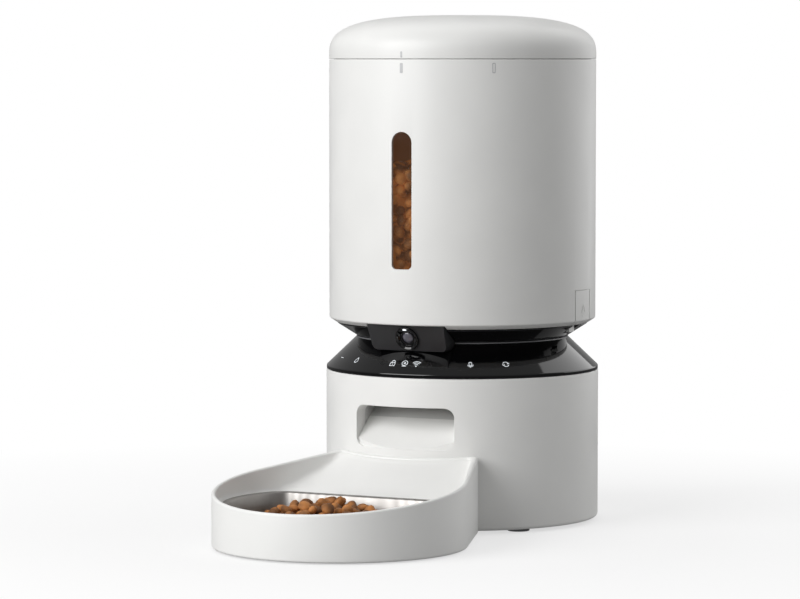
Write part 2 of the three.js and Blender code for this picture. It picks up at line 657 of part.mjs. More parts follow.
// The camera's pieces share a frame on its face: +Z points out along the lens.
const cameraFrame = new THREE.Group();
cameraFrame.position.set(0, -(cameraFaceBottom + cameraFaceTop) / 2, (cameraBottom + cameraTop) / 2);
cameraFrame.rotation.x = Math.PI / 2 + cameraTilt;
tower.add(cameraFrame);

function fromCameraFrame(made) {
  const { x, y, z } = cameraFrame.position;
  return made.rotate([THREE.MathUtils.radToDeg(cameraFrame.rotation.x), 0, 0]).translate(x, y, z);
}

function cameraHousing() {
  const cavity = cameraSolid(-2, 5).subtract(fromCameraFrame(box([-60, 60], [-60, 60], [-2, 20])));
  const hole = fromCameraFrame(disc(BEZEL_RADIUS - 1.5, -8, 8));
  return cameraSolid(0).subtract(cavity).subtract(hole);
}

const lampReach = (LENS_RADIUS + BEZEL_RADIUS) / 2 + 0.1;

function cameraBezel() {
  const bore = LENS_RADIUS + GAP;
  const neck = BEZEL_RADIUS - 1.5 - GAP;
  const bezel = turned([
    [bore, -2.6], [neck, -2.6], [neck, GAP], [BEZEL_RADIUS, GAP], [BEZEL_RADIUS, 1.3],
    [BEZEL_RADIUS - 0.8, 1.9], [bore + 0.8, 1.9], [bore, 1.2],
  ], 24);
  return bezel.subtract(disc(LAMP_RADIUS + GAP, 0.9, 4, 16).translate(0, lampReach, 0));
}

function cameraLens() {
  return turned([
    [0, -3.4], [LENS_RADIUS, -3.4], [LENS_RADIUS, 0.8], [LENS_RADIUS * 0.7, 1.25], [0, 1.5],
  ], 24);
}

function cameraLamp() {
  return disc(LAMP_RADIUS, 1.2, 2.1, 16).translate(0, lampReach, 0);
}

function cameraBoard() {
  return box([-18, 18], [-7, 3], [-6, -4.6]);
}

// ---- Food tank ----
const tabHalfWidth = TANK_RADIUS * Math.sin(rad(TAB_HALF_ANGLE));
const tabTop = TANK_BOTTOM + TAB_TOP_RISE;

function tankShell() {
  const lipRise = 3.1;
  const lipInset = TANK_RADIUS - CUP_RADIUS;
  return turned([
    [TANK_RADIUS - lipInset, TANK_BOTTOM], [TANK_RADIUS, TANK_BOTTOM + lipRise],
    [TANK_RADIUS, TANK_TOP], [TANK_INNER, TANK_TOP], [TANK_INNER, TANK_BOTTOM + lipRise + 1.5],
    [TANK_RADIUS - lipInset - 1.5, TANK_BOTTOM + 2],
  ]);
}

function windowOutline(grow) {
  const bottom = TANK_BOTTOM + WINDOW_RISE;
  const width = WINDOW_WIDTH + 2 * grow;
  return roundedRectangle(width, bottom - grow, bottom + WINDOW_LENGTH + grow, WINDOW_CORNER + grow, width / 2);
}

function hopperShell() {
  let shell = tankShell();
  shell = shell.subtract(through(windowOutline(0), -BODY_RADIUS - 5, -BODY_RADIUS / 2));
  const notch = CAMERA_TOP_HALF_WIDTH + SLIDE_GAP;
  const depth = [-BODY_RADIUS - 5, -BODY_RADIUS / 2];
  shell = shell.subtract(box([-notch, notch], depth, [CUP_TOP - 5, cameraTop + SLIDE_GAP]));
  for (const side of [-1, 1]) {
    const ends = [side * (TANK_INNER - 14), side * (TANK_RADIUS + 5)].sort((a, b) => a - b);
    shell = shell.subtract(box(ends, [-tabHalfWidth, tabHalfWidth], [CUP_TOP - 5, tabTop]));
  }
  return shell;
}

function releaseTab(side) {
  const half = tabHalfWidth - TAB_GROOVE;
  const ends = [side * (TANK_INNER - 14), side * (TANK_RADIUS + 5)].sort((a, b) => a - b);
  const plate = tankShell().intersect(box(ends, [-half, half], [TANK_BOTTOM + GAP, tabTop - TAB_GROOVE]));
  const lugInner = side * (CUP_RADIUS - 7);
  const lugs = [
    box([lugInner, side * (CUP_RADIUS - 4.5)].sort((a, b) => a - b),
      [-TAB_LUG_WIDTH / 2, TAB_LUG_WIDTH / 2], [CUP_TOP - LUG_REACH, TANK_BOTTOM + 6.5]),
    box([lugInner, side * (TANK_RADIUS - 1)].sort((a, b) => a - b),
      [-TAB_LUG_WIDTH / 2, TAB_LUG_WIDTH / 2], [TANK_BOTTOM + 4.5, TANK_BOTTOM + 6.5]),
  ];
  return plate.add(lugs[0]).add(lugs[1]);
}

function hopperWindow() {
  const inner = TANK_INNER - 1.9;
  const depth = [-BODY_RADIUS - 5, -BODY_RADIUS / 2];
  const pane = through(windowOutline(-GAP), ...depth).intersect(ring(inner, TANK_RADIUS - GAP, 0, TANK_TOP));
  const flange = through(windowOutline(WINDOW_FLANGE), ...depth);
  return pane.add(flange.intersect(ring(inner, TANK_INNER - GAP, 0, TANK_TOP)));
}

function hopperFunnel() {
  const outer = TANK_INNER - GAP;
  return turned([
    [SPOUT_OUTER - 2, SPOUT_BOTTOM], [SPOUT_OUTER, SPOUT_BOTTOM], [SPOUT_OUTER, FUNNEL_FOOT],
    [outer, FUNNEL_TOP - 3], [outer, FUNNEL_TOP], [outer - 2, FUNNEL_TOP],
    [outer - 2.5, FUNNEL_TOP - 2.2], [SPOUT_OUTER - 2, FUNNEL_FOOT + 1],
  ]);
}

// ---- Lid ----

// The dome's outline from its rim up to the axis.
function domeCurve(radius, rise, bottom) {
  const points = [];
  for (let i = 0; i <= DOME_STEPS; i += 1) {
    const angle = ((i / DOME_STEPS) * Math.PI) / 2;
    const r = i === DOME_STEPS ? 0 : radius * Math.cos(angle) ** (2 / LID_FULLNESS);
    points.push([r, bottom + rise * Math.sin(angle) ** (2 / LID_FULLNESS)]);
  }
  return points;
}

function lidShell() {
  const outer = domeCurve(LID_RADIUS, LID_RISE - LID_BAND, LID_BOTTOM + LID_BAND);
  const inner = domeCurve(LID_RADIUS - WALL, LID_RISE - LID_BAND - WALL, LID_BOTTOM + LID_BAND);
  return turned([
    ...inner.reverse(), [LID_RADIUS - WALL, LID_BOTTOM], [LID_RADIUS, LID_BOTTOM], ...outer,
  ]);
}

function lidPlug() {
  const [high, low] = SEAL_GROOVE.map((depth) => PLUG_TOP - depth);
  return turned([
    [0, PLUG_TOP - 2], [PLUG_RADIUS - 3.4, PLUG_TOP - 2], [PLUG_RADIUS - 3.4, PLUG_TOP - PLUG_DEPTH],
    [PLUG_RADIUS, PLUG_TOP - PLUG_DEPTH], [PLUG_RADIUS, low], [PLUG_RADIUS - 1.4, low],
    [PLUG_RADIUS - 1.4, high], [PLUG_RADIUS, high], [PLUG_RADIUS, PLUG_TOP], [0, PLUG_TOP],
  ]);
}

function lidSeal() {
  const [high, low] = SEAL_GROOVE.map((depth) => PLUG_TOP - depth);
  return ring(PLUG_RADIUS - 1.4 + GAP, TANK_INNER - GAP - 0.1, low + GAP, high - GAP);
}

const desiccantTop = PLUG_TOP - 2 - GAP;
const desiccantBottom = desiccantTop - DESICCANT_DEPTH;

function desiccantBox() {
  const inner = DESICCANT_RADIUS - 2;
  return turned([
    [0, desiccantTop - 2], [inner, desiccantTop - 2], [inner, desiccantBottom],
    [DESICCANT_RADIUS, desiccantBottom], [DESICCANT_RADIUS, desiccantTop], [0, desiccantTop],
  ], 24);
}

function desiccantBag() {
  const top = desiccantTop - 2 - GAP;
  const bottom = desiccantBottom + 1.5;
  return turned([
    [0, bottom], [20, bottom], [DESICCANT_RADIUS - 4, (top + bottom) / 2], [20, top], [0, top],
  ], SMALL_ROUND);
}

function desiccantCap() {
  const top = desiccantBottom - GAP;
  let cap = disc(DESICCANT_RADIUS, top - 2.5, top, 24);
  for (let i = -2; i <= 2; i += 1) {
    if (i === 0) continue;
    const half = Math.sqrt((DESICCANT_RADIUS - 5) ** 2 - (i * 9) ** 2);
    cap = cap.subtract(box([-half, half], [i * 9 - 1.5, i * 9 + 1.5], [top - 5, top + 1]));
  }
  return cap.add(box([-14, 14], [-1.5, 1.5], [top - 8, top - 2]));
}

// ---- Bowl tray and bowl ----
const trayBack = BODY_RADIUS + SLIDE_GAP;
const bowlBack = TRAY_CENTRE + 43;
const rimSlope = (TRAY_REAR_HEIGHT - TRAY_FRONT_HEIGHT) / (TRAY_REACH - BODY_RADIUS);
const rimHeight = (y) => TRAY_FRONT_HEIGHT + (y + TRAY_REACH) * rimSlope;
const ledge = BOWL_RIM_HEIGHT - STEEL - GAP;
const rampTop = -trayBack;
const rampSlope = (rimHeight(rampTop) - RAMP_FRONT_HEIGHT) / (rampTop - bowlBack - 2);
const rampHeight = (y) => RAMP_FRONT_HEIGHT + (y - bowlBack - 2) * rampSlope;

// Plan of the tray: a round front, flanks that run straight back, and a back that fits the base.
function trayOutline(inset, backRadius) {
  const radius = TRAY_RADIUS - inset;
  const half = TRAY_REAR_HALF_WIDTH - inset;
  const rear = -Math.sqrt(backRadius ** 2 - half ** 2);
  const away = Math.hypot(half, rear - TRAY_CENTRE);
  const tangent = Math.atan2(rear - TRAY_CENTRE, half) - Math.acos(radius / away);
  const shape = new THREE.Shape();
  shape.moveTo(half, rear);
  shape.absarc(0, TRAY_CENTRE, radius, tangent, Math.PI - tangent, true);
  shape.lineTo(-half, rear);
  shape.absarc(0, 0, backRadius, Math.atan2(rear, -half), Math.atan2(rear, half), false);
  return shape;
}

// Plan of the bowl: a circle cut straight across the back, with rounded corners.
function bowlOutline(inset) {
  const radius = BOWL_RADIUS - inset;
  const back = bowlBack - inset;
  const corner = BOWL_CORNER - inset;
  const cornerX = Math.sqrt((radius - corner) ** 2 - (back - corner - TRAY_CENTRE) ** 2);
  const meet = Math.atan2(back - corner - TRAY_CENTRE, cornerX);
  const shape = new THREE.Shape();
  shape.moveTo(-cornerX, back);
  shape.absarc(cornerX, back - corner, corner, Math.PI / 2, meet, true);
  shape.absarc(0, TRAY_CENTRE, radius, meet, Math.PI - meet, true);
  shape.absarc(-cornerX, back - corner, corner, Math.PI - meet, Math.PI / 2, true);
  return shape;
}

function bowlTray() {
  const steps = 2;
  let tray = raised(trayOutline(0, trayBack), TRAY_BOTTOM + TRAY_ROUNDING, TRAY_REAR_HEIGHT + 10, TRAY_CURVE);
  for (let i = 1; i < steps; i += 1) {
    const angle = ((i / steps) * Math.PI) / 2;
    const inset = TRAY_ROUNDING * (1 - Math.cos(angle));
    const bottom = TRAY_BOTTOM + TRAY_ROUNDING * (1 - Math.sin(angle));
    tray = tray.add(raised(trayOutline(inset, trayBack), bottom, TRAY_REAR_HEIGHT, TRAY_CURVE));
  }
  tray = tray.add(raised(trayOutline(TRAY_ROUNDING, trayBack), TRAY_BOTTOM, TRAY_REAR_HEIGHT, TRAY_CURVE));
  const far = -TRAY_REACH - 20;
  const near = -BODY_RADIUS / 2;
  const tall = BASE_HEIGHT;
  const wide = BODY_RADIUS + 20;
  tray = tray.subtract(across([[far, rimHeight(far)], [near, rimHeight(near)], [near, tall], [far, tall]], -wide, wide));
  const bed = across([
    [far, ledge], [bowlBack + SLIDE_GAP, ledge], [bowlBack + SLIDE_GAP, rampHeight(bowlBack + SLIDE_GAP)],
    [near, rampHeight(near)], [near, tall], [far, tall],
  ], -wide, wide);
  const within = raised(trayOutline(TRAY_WALL, trayBack - 6), 0, tall, TRAY_CURVE);
  tray = tray.subtract(bed.intersect(within));
  tray = tray.subtract(raised(bowlOutline(BOWL_RIM - SLIDE_GAP), BOWL_BOTTOM - SLIDE_GAP, tall, BOWL_CURVE));
  const hollowFar = bowlBack + 7;
  const hollowNear = -trayBack - 6;
  const hollow = TRAY_REAR_HALF_WIDTH - 5;
  tray = tray.subtract(across([
    [hollowFar, 0], [hollowNear, 0], [hollowNear, rampHeight(hollowNear) - 4], [hollowFar, rampHeight(hollowFar) - 4],
  ], -hollow, hollow));
  for (const side of [-1, 1]) {
    const x = side * HOOK_OFFSET;
    const span = [-trayBack - 3, -BODY_RADIUS + HOOK_LENGTH + 5];
    tray = tray.add(box([x - HOOK_WIDTH / 2, x + HOOK_WIDTH / 2], span, HOOK_HEIGHT));
  }
  return tray;
}

function steelBowl() {
  const wall = raised(bowlOutline(BOWL_RIM), BOWL_BOTTOM, BOWL_RIM_HEIGHT, BOWL_CURVE);
  const rim = raised(bowlOutline(0), BOWL_RIM_HEIGHT - STEEL, BOWL_RIM_HEIGHT, BOWL_CURVE);
  const inside = raised(bowlOutline(BOWL_RIM + STEEL), BOWL_BOTTOM + STEEL, BOWL_RIM_HEIGHT + 1, BOWL_CURVE);
  return wall.add(rim).subtract(inside);
}

// ---- Build ----
add("base_housing", baseHousing(), "white");
add("base_plate", basePlate(), "lightGrey");
footPlaces().forEach(([x, y], i) => {
  add(`foot_${i + 1}`, disc(FOOT_RADIUS, 0, FOOT_HEIGHT).translate(x, y, 0), "rubber");
});
screwPlaces().forEach((place, i) => {
  add(`base_screw_${i + 1}`, baseScrew(place), "zinc");
});
add("battery_cover", batteryCover(), "lightGrey");
add("battery_box", batteryBox(), "darkGrey");
for (let i = 0; i < BATTERY_COUNT; i += 1) add(`battery_${i + 1}`, battery(i), "cell");
add("battery_contact_front", batteryContact(-1), "zinc");
add("battery_contact_rear", batteryContact(1), "zinc");
add("food_chute", foodChute(), "lightGrey");
add("mech_deck", mechDeck(), "darkGrey");
add("motor", motor(), "zinc");
add("motor_pinion", motorPinion(), "gearPlastic");
add("drive_gear", driveGear(), "gearPlastic");
add("wheel_shaft", wheelShaft(), "zinc");
add("food_wheel", foodWheel(), "lightGrey");
add("agitator", agitator(), "lightGrey");
add("rotor_housing", rotorHousing(), "lightGrey");
add("food_wiper", wiper(), "silicone");
add("control_ring", controlRing(), "blackGloss");
add("control_board", controlBoard(), "board");
add("microphone", microphone(), "zinc");
add("waist_seam", waistSeam(), "trimGrey");
add("neck_cup", neckCup(), "blackGloss");
add("main_board", mainBoard(), "board");
add("speaker", speaker(), "darkGrey");
add("power_inlet", powerInlet(), "darkGrey");
add("food_sensor_left", foodSensor(-1), "darkGrey");
add("food_sensor_right", foodSensor(1), "darkGrey");
add("camera_housing", cameraHousing(), "darkGrey");
add("camera_bezel", cameraBezel(), "blackGloss", cameraFrame);
add("camera_lens", cameraLens(), "glass", cameraFrame);
add("camera_lamp", cameraLamp(), "lamp", cameraFrame);
add("camera_board", cameraBoard(), "board", cameraFrame);
add("hopper_shell", hopperShell(), "white");
add("hopper_window", hopperWindow(), "tint");
add("hopper_funnel", hopperFunnel(), "white");
add("release_tab_left", releaseTab(-1), "white");
add("release_tab_right", releaseTab(1), "white");
add("lid_shell", lidShell(), "white");
add("lid_plug", lidPlug(), "white");
add("lid_seal", lidSeal(), "silicone");
add("desiccant_box", desiccantBox(), "white");
add("desiccant_bag", desiccantBag(), "lightGrey");
add("desiccant_cap", desiccantCap(), "white");
add("bowl_tray", bowlTray(), "white");
[[-62, 20], [62, 20], [0, -72]].forEach(([x, forward], i) => {
  const pad = disc(5, 0, TRAY_BOTTOM - GAP, 16).translate(x, TRAY_CENTRE + forward, 0);
  add(`tray_pad_${i + 1}`, pad, "rubber");
});
add("steel_bowl", steelBowl(), "steel");

export default feeder;
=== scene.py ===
"""Automatic pet feeder: the moulded shells, glossy controls, steel bowl and food, round the CAD frame."""
import math
import random

import bmesh
import bpy
from mathutils import Matrix, Vector


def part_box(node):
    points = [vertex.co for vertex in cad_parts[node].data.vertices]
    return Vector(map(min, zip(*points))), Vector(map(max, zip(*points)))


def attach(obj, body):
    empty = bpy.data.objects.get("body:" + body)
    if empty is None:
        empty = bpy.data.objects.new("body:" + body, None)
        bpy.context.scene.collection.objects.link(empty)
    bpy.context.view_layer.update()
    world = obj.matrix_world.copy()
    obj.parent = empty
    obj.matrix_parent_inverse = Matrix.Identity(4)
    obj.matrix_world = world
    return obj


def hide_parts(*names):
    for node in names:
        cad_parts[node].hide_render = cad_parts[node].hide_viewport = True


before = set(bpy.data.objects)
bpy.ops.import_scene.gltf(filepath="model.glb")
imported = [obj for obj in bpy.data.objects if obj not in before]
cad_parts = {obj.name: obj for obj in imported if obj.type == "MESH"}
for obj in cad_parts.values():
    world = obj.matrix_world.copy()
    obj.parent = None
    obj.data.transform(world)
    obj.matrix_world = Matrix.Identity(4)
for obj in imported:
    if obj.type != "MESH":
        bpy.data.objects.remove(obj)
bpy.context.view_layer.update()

bl_info = {
    "name": "Automatic Pet Feeder",
    "version": (1, 0, 0),
    "blender": (4, 5, 0),
    "location": "View3D > Sidebar > Feeder",
    "description": "Builds an automatic pet feeder with a food tank, a camera, touch keys and a steel bowl",
    "category": "Object",
}

MM = 0.001
QUARTER = math.pi / 2


def node_box(name):
    """Lowest and highest corner of a CAD node."""
    low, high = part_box(name)
    return Vector(low), Vector(high)


HOUSING_LOW, HOUSING_HIGH = node_box("base_housing")
BOWL_LOW, BOWL_HIGH = node_box("steel_bowl")
TRAY_LOW, TRAY_HIGH = node_box("bowl_tray")
TANK_LOW, TANK_HIGH = node_box("hopper_shell")
LID_LOW, LID_HIGH = node_box("lid_shell")
CAMERA_LOW, CAMERA_HIGH = node_box("camera_housing")
SEAM_LOW, SEAM_HIGH = node_box("waist_seam")
AXIS_Y = (HOUSING_LOW.y + HOUSING_HIGH.y) / 2
FRONT_ROUND_Y = TRAY_LOW.y + (TRAY_HIGH.x - TRAY_LOW.x) / 2

PAST = 10 * MM  # how far a cutter reaches past the surface that it cuts
OPENING_CORNER = 7 * MM
CHUTE_SLOPE = 37  # degrees
LINING_DEPTH = 20.6 * MM  # of the food opening, from the front of the housing
HOOK_X = 30 * MM  # the tray's two hooks, and the slots that take them
TRAY_GAP = 0.6 * MM  # between the tray's hollow back and the housing
GRILLE_RADIUS, GRILLE_HEIGHT, GRILLE_PITCH, GRILLE_HALF_SLOT = 14 * MM, 75 * MM, 5 * MM, 1 * MM
INLET_RADIUS, INLET_HEIGHT = 4.5 * MM, 18 * MM
RING_LIP = 2.8 * MM  # the upright edge under the control ring's cone
RING_INSET = 0.2 * MM  # the ring stands this far inside the housing's face
CUT_GAP = 0.3 * MM  # round the camera housing
CAMERA_LEAN = 8 * MM  # how far the camera's face leans back from top to bottom
ICON_HEIGHT = 9.8 * MM  # above the top of the housing
TAB_HALF, TAB_TOP = 12.77 * MM, 25.5 * MM
TAB_SIDE_GAP, TAB_TOP_GAP = 1.2 * MM, 0.25 * MM
TAB_ROOM = 18 * MM  # depth of the cut that frees a tab
TRAY_WALL, TRAY_ROUNDING, TRAY_RIM_ROUNDING = 3 * MM, 2 * MM, 1.4 * MM
TRAY_RIM_FRONT, TRAY_RIM_SLOPE = 33.3 * MM, 0.119
TRAY_LEDGE = 30 * MM  # the level bed round the bowl
STEEL = 1.2 * MM
HEAP_RADIUS, HEAP_HEIGHT = 66 * MM, 25.5 * MM
HEAP_COUNT, WINDOW_COUNT, TOP_COUNT = 360, 130, 330  # tries, not pieces: a crowded place is skipped
FILL_LOW, FILL_TOP = 42 * MM, 111 * MM  # food in the tank, above its lower lip


# ---- What a user can change ----
def length(name, description, default):
    """A length property; default in metres."""
    return bpy.props.FloatProperty(
        name=name, description=description, default=default, min=0.0, unit="LENGTH", precision=4)


def colour(name, description, code):
    """A colour property from an sRGB hex code."""
    return bpy.props.FloatVectorProperty(
        name=name, description=description, default=linear(code), size=3, min=0.0, max=1.0, subtype="COLOR")


def linear(code):
    """sRGB hex to linear RGB."""
    channels = [int(code[i:i + 2], 16) / 255 for i in (1, 3, 5)]
    return tuple(c / 12.92 if c <= 0.04045 else ((c + 0.055) / 1.055) ** 2.4 for c in channels)


class FeederSizes(bpy.types.PropertyGroup):
    """Sizes of the visible pieces."""

    body_radius: length("Body radius", "Round base housing", (HOUSING_HIGH.x - HOUSING_LOW.x) / 2)
    base_bottom: length("Base bottom", "Underside of the housing", HOUSING_LOW.z)
    base_top: length("Base top", "Top edge of the housing", HOUSING_HIGH.z)
    waist_radius: length("Waist radius", "Narrowest part of the neck", (SEAM_HIGH.x - SEAM_LOW.x) / 2 - 0.4 * MM)
    waist_height: length("Waist height", "Height of the waist", SEAM_HIGH.z)
    cup_radius: length("Cup radius", "Top of the black neck cup", 93 * MM)
    tank_radius: length("Tank radius", "Outside of the food tank", (TANK_HIGH.x - TANK_LOW.x) / 2)
    tank_bottom: length("Tank bottom", "Lower lip of the tank", TANK_LOW.z)
    tank_top: length("Tank top", "Seam between tank and lid", TANK_HIGH.z)
    wall: length("Wall", "Wall of the moulded shells", 2.5 * MM)
    opening_width: length("Opening width", "Food opening in the housing", 78.6 * MM)
    opening_bottom: length("Opening bottom", "Sill of the food opening", 60 * MM)
    opening_top: length("Opening top", "Head of the food opening", 90 * MM)
    window_width: length("Window width", "Tinted window in the tank", 16 * MM)
    window_length: length("Window length", "Tinted window in the tank", 98 * MM)
    tray_reach: length("Tray reach", "Front of the tray from the tower's axis", AXIS_Y - TRAY_LOW.y)
    tray_radius: length("Tray radius", "Round front of the tray", (TRAY_HIGH.x - TRAY_LOW.x) / 2)
    tray_rear_half: length("Tray rear half width", "Where the flanks meet the housing", 55 * MM)
    kibble: length("Kibble", "Size of one piece of dry food", 9 * MM)


class FeederColours(bpy.types.PropertyGroup):
    """Colours of the finishes."""

    shell: colour("Shell", "White moulded shells", "#eeeeec")
    gloss: colour("Gloss", "Glossy black neck", "#040405")
    camera: colour("Camera", "Dark camera housing", "#2c2c2e")
    window: colour("Window", "Smoke tint", "#2a2c2e")
    food: colour("Food", "Dry food", "#ab7446")


# ---- Mesh helpers ----
def bend(corners, steps=5):
    """A path of (x, y) or (x, y, radius) corners, with each radius drawn as an arc; it isn't closed."""
    path = []
    for i, corner in enumerate(corners):
        radius = corner[2] if len(corner) > 2 else 0
        here = Vector(corner[:2])
        if not radius:
            path.append(tuple(here))
            continue
        before = (Vector(corners[i - 1][:2]) - here).normalized()
        after = (Vector(corners[(i + 1) % len(corners)][:2]) - here).normalized()
        half = math.acos(max(-1, min(1, before.dot(after)))) / 2
        reach = radius / math.tan(half)
        centre = here + (before + after).normalized() * (radius / math.sin(half))
        start, end = here + before * reach - centre, here + after * reach - centre
        sweep = start.angle_signed(end)
        for k in range(steps + 1):
            path.append(tuple(centre + Matrix.Rotation(-sweep * k / steps, 2) @ start))
    return path


def turn(profile, steps=160):
    """A closed surface from (radius, height) points turned about the tower's axis."""
    bm = bmesh.new()
    verts = [bm.verts.new((radius, 0, height)) for radius, height in profile]
    edges = [bm.edges.new(pair) for pair in zip(verts, verts[1:])]
    if profile[0][0] > 0 or profile[-1][0] > 0:
        edges.append(bm.edges.new((verts[-1], verts[0])))
    bmesh.ops.spin(bm, geom=verts + edges, cent=(0, 0, 0), axis=(0, 0, 1), dvec=(0, 0, 0),
                   angle=2 * math.pi, steps=steps, use_merge=True)
    bmesh.ops.remove_doubles(bm, verts=bm.verts, dist=1e-6)
    bmesh.ops.recalc_face_normals(bm, faces=bm.faces)
    return bm


def loft(rings, capped=True):
    """A surface through rings of the same number of points, closed at both ends."""
    bm = bmesh.new()
    verts = [bm.verts.new(point) for point in rings[0]]
    edges = [bm.edges.new((a, b)) for a, b in zip(verts, verts[1:] + verts[:1])]
    first = list(edges)
    for ring in rings[1:]:
        place = {vert: i for i, vert in enumerate(verts)}
        grown = bmesh.ops.extrude_edge_only(bm, edges=edges)["geom"]
        fresh = [None] * len(verts)
        for vert in (g for g in grown if isinstance(g, bmesh.types.BMVert)):
            source = next(e.other_vert(vert) for e in vert.link_edges if e.other_vert(vert) in place)
            fresh[place[source]] = vert
        for vert, point in zip(fresh, ring):
            vert.co = point
        verts = fresh
        edges = [bm.edges.get((a, b)) for a, b in zip(verts, verts[1:] + verts[:1])]
    if capped:
        bmesh.ops.edgeloop_fill(bm, edges=first)
        bmesh.ops.edgeloop_fill(bm, edges=edges)
    bmesh.ops.recalc_face_normals(bm, faces=bm.faces)
    return bm


def slab(outline, low, high):
    """A flat outline raised from low to high."""
    rings = [[(x, y, height) for x, y in outline] for height in (low, high)]
    return loft(rings)


def block(low, high):
    """A box between two corners, in metres."""
    bm = bmesh.new()
    bmesh.ops.create_cube(bm, size=1)
    bmesh.ops.scale(bm, vec=Vector(high) - Vector(low), verts=bm.verts)
    bmesh.ops.translate(bm, vec=(Vector(high) + Vector(low)) / 2, verts=bm.verts)
    return bm


def forward(bm):
    """Turns a slab drawn in plan so that its outline stands up and its height runs back, along +Y."""
    bmesh.ops.rotate(bm, cent=(0, 0, 0), matrix=Matrix.Rotation(QUARTER, 3, "X"), verts=bm.verts)
    bmesh.ops.scale(bm, vec=(1, -1, 1), verts=bm.verts)
    bmesh.ops.reverse_faces(bm, faces=bm.faces)
    return bm


def moved(bm, matrix):
    """The mesh, moved by a 4x4 matrix."""
    bmesh.ops.transform(bm, matrix=matrix, verts=bm.verts)
    return bm


def joined(meshes):
    """Several meshes in one."""
    whole = bmesh.new()
    for bm in meshes:
        mesh = bpy.data.meshes.new("part")
        bm.to_mesh(mesh)
        bm.free()
        whole.from_mesh(mesh)
        bpy.data.meshes.remove(mesh)
    return whole


def scratch(bm):
    """A temporary object, for cutting."""
    mesh = bpy.data.meshes.new("cutter")
    bm.to_mesh(mesh)
    bm.free()
    made = bpy.data.objects.new("cutter", mesh)
    bpy.context.scene.collection.objects.link(made)
    return made


def cut(bm, cutters, operation="DIFFERENCE"):
    """The mesh with each cutter taken away, or kept to what they share."""
    body = scratch(bm)
    tools = [scratch(cutter) for cutter in cutters]
    for tool in tools:
        modifier = body.modifiers.new("cut", "BOOLEAN")
        modifier.object = tool
        modifier.operation = operation
        modifier.solver = "EXACT"
    evaluated = body.evaluated_get(bpy.context.evaluated_depsgraph_get())
    result = bmesh.new()
    result.from_mesh(evaluated.to_mesh())
    for made in [body, *tools]:
        mesh = made.data
        bpy.data.objects.remove(made)
        bpy.data.meshes.remove(mesh)
    return result


TOWER = Matrix.Translation((0, AXIS_Y, 0))


def piece(name, bm, finish, body, replaces=(), soften=0.0, place=TOWER, crease=32):
    """A finished piece: placed, shaded smooth between its edges, hung on the body that it rides on, and the CAD parts
    that it stands for hidden.
    """
    bmesh.ops.transform(bm, matrix=place, verts=bm.verts)
    mesh = bpy.data.meshes.new(name)
    bm.to_mesh(mesh)
    bm.free()
    mesh.shade_smooth()
    mesh.set_sharp_from_angle(angle=math.radians(crease))
    mesh.materials.append(finish)
    made = bpy.data.objects.new(name, mesh)
    bpy.context.scene.collection.objects.link(made)
    if soften:
        modifier = made.modifiers.new("edges", "BEVEL")
        modifier.width = soften
        modifier.segments = 3
        modifier.limit_method = "ANGLE"
        modifier.angle_limit = math.radians(crease)
        modifier.harden_normals = True
    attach(made, body)
    if replaces:
        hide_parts(*replaces)
    return made


# ---- Material helpers ----
def add(tree, kind, inputs=None, **settings):
    """Adds a node with its settings; an input is a value or the socket that feeds it."""
    made = tree.nodes.new(kind)
    for key, value in settings.items():
        setattr(made, key, value)
    for key, value in (inputs or {}).items():
        if isinstance(value, bpy.types.NodeSocket):
            tree.links.new(value, made.inputs[key])
        else:
            made.inputs[key].default_value = value
    return made


def blank_material(name):
    """A material with nothing but its output and a Principled shader."""
    material = bpy.data.materials.new(name)
    material.use_nodes = True
    tree = material.node_tree
    tree.nodes.clear()
    shader = add(tree, "ShaderNodeBsdfPrincipled")
    add(tree, "ShaderNodeOutputMaterial", {"Surface": shader.outputs[0]})
    place = add(tree, "ShaderNodeTexCoord").outputs["Object"]
    return material, tree, shader, place


def noise(tree, place, size, detail=2.0, roughness=0.5):
    """Noise whose blobs are about size metres wide."""
    return add(tree, "ShaderNodeTexNoise", {
        "Vector": place, "Scale": 1 / size, "Detail": detail, "Roughness": roughness}).outputs["Fac"]


def spread(tree, value, low, high, start=0.3, stop=0.7):
    """Stretches a noise's middle onto low to high."""
    return add(tree, "ShaderNodeMapRange", {
        "Value": value, "From Min": start, "From Max": stop, "To Min": low, "To Max": high}).outputs["Result"]


def tinted(tree, value, dark, light):
    """A colour between two, by value."""
    mix = add(tree, "ShaderNodeMix", data_type="RGBA")
    tree.links.new(value, mix.inputs["Factor"])
    mix.inputs[6].default_value = (*dark, 1)
    mix.inputs[7].default_value = (*light, 1)
    return mix.outputs[2]


def feed(tree, shader, **links):
    """Feeds the shader's sockets; an underscore stands for a space."""
    for key, value in links.items():
        socket = shader.inputs[key.replace("_", " ")]
        if isinstance(value, bpy.types.NodeSocket):
            tree.links.new(value, socket)
        else:
            socket.default_value = value


def shade(rgb, factor):
    """A colour made lighter or darker."""
    return tuple(min(1.0, channel * factor) for channel in rgb)


def moulded(name, rgb, roughness, grain, depth, coat=0.0):
    """A moulded plastic: a fine spark-eroded grain, and a slow change of sheen where the tool was polished."""
    material, tree, shader, place = blank_material(name)
    slow = noise(tree, place, 28 * MM)
    fine = noise(tree, place, grain, detail=4.0, roughness=0.6)
    bump = add(tree, "ShaderNodeBump", {"Height": fine, "Strength": 0.35, "Distance": depth})
    feed(tree, shader, Base_Color=tinted(tree, slow, shade(rgb, 0.97), shade(rgb, 1.02)),
         Roughness=spread(tree, slow, roughness - 0.05, roughness + 0.05), Normal=bump.outputs[0],
         IOR=1.53, Coat_Weight=coat, Coat_Roughness=0.03)
    return material


def white_abs(colours):
    """ABS from a fine spark-eroded mould: an even, satin white with a soft broad highlight."""
    return moulded("satin_white_abs", tuple(colours.shell), 0.4, 0.7 * MM, 0.012 * MM)


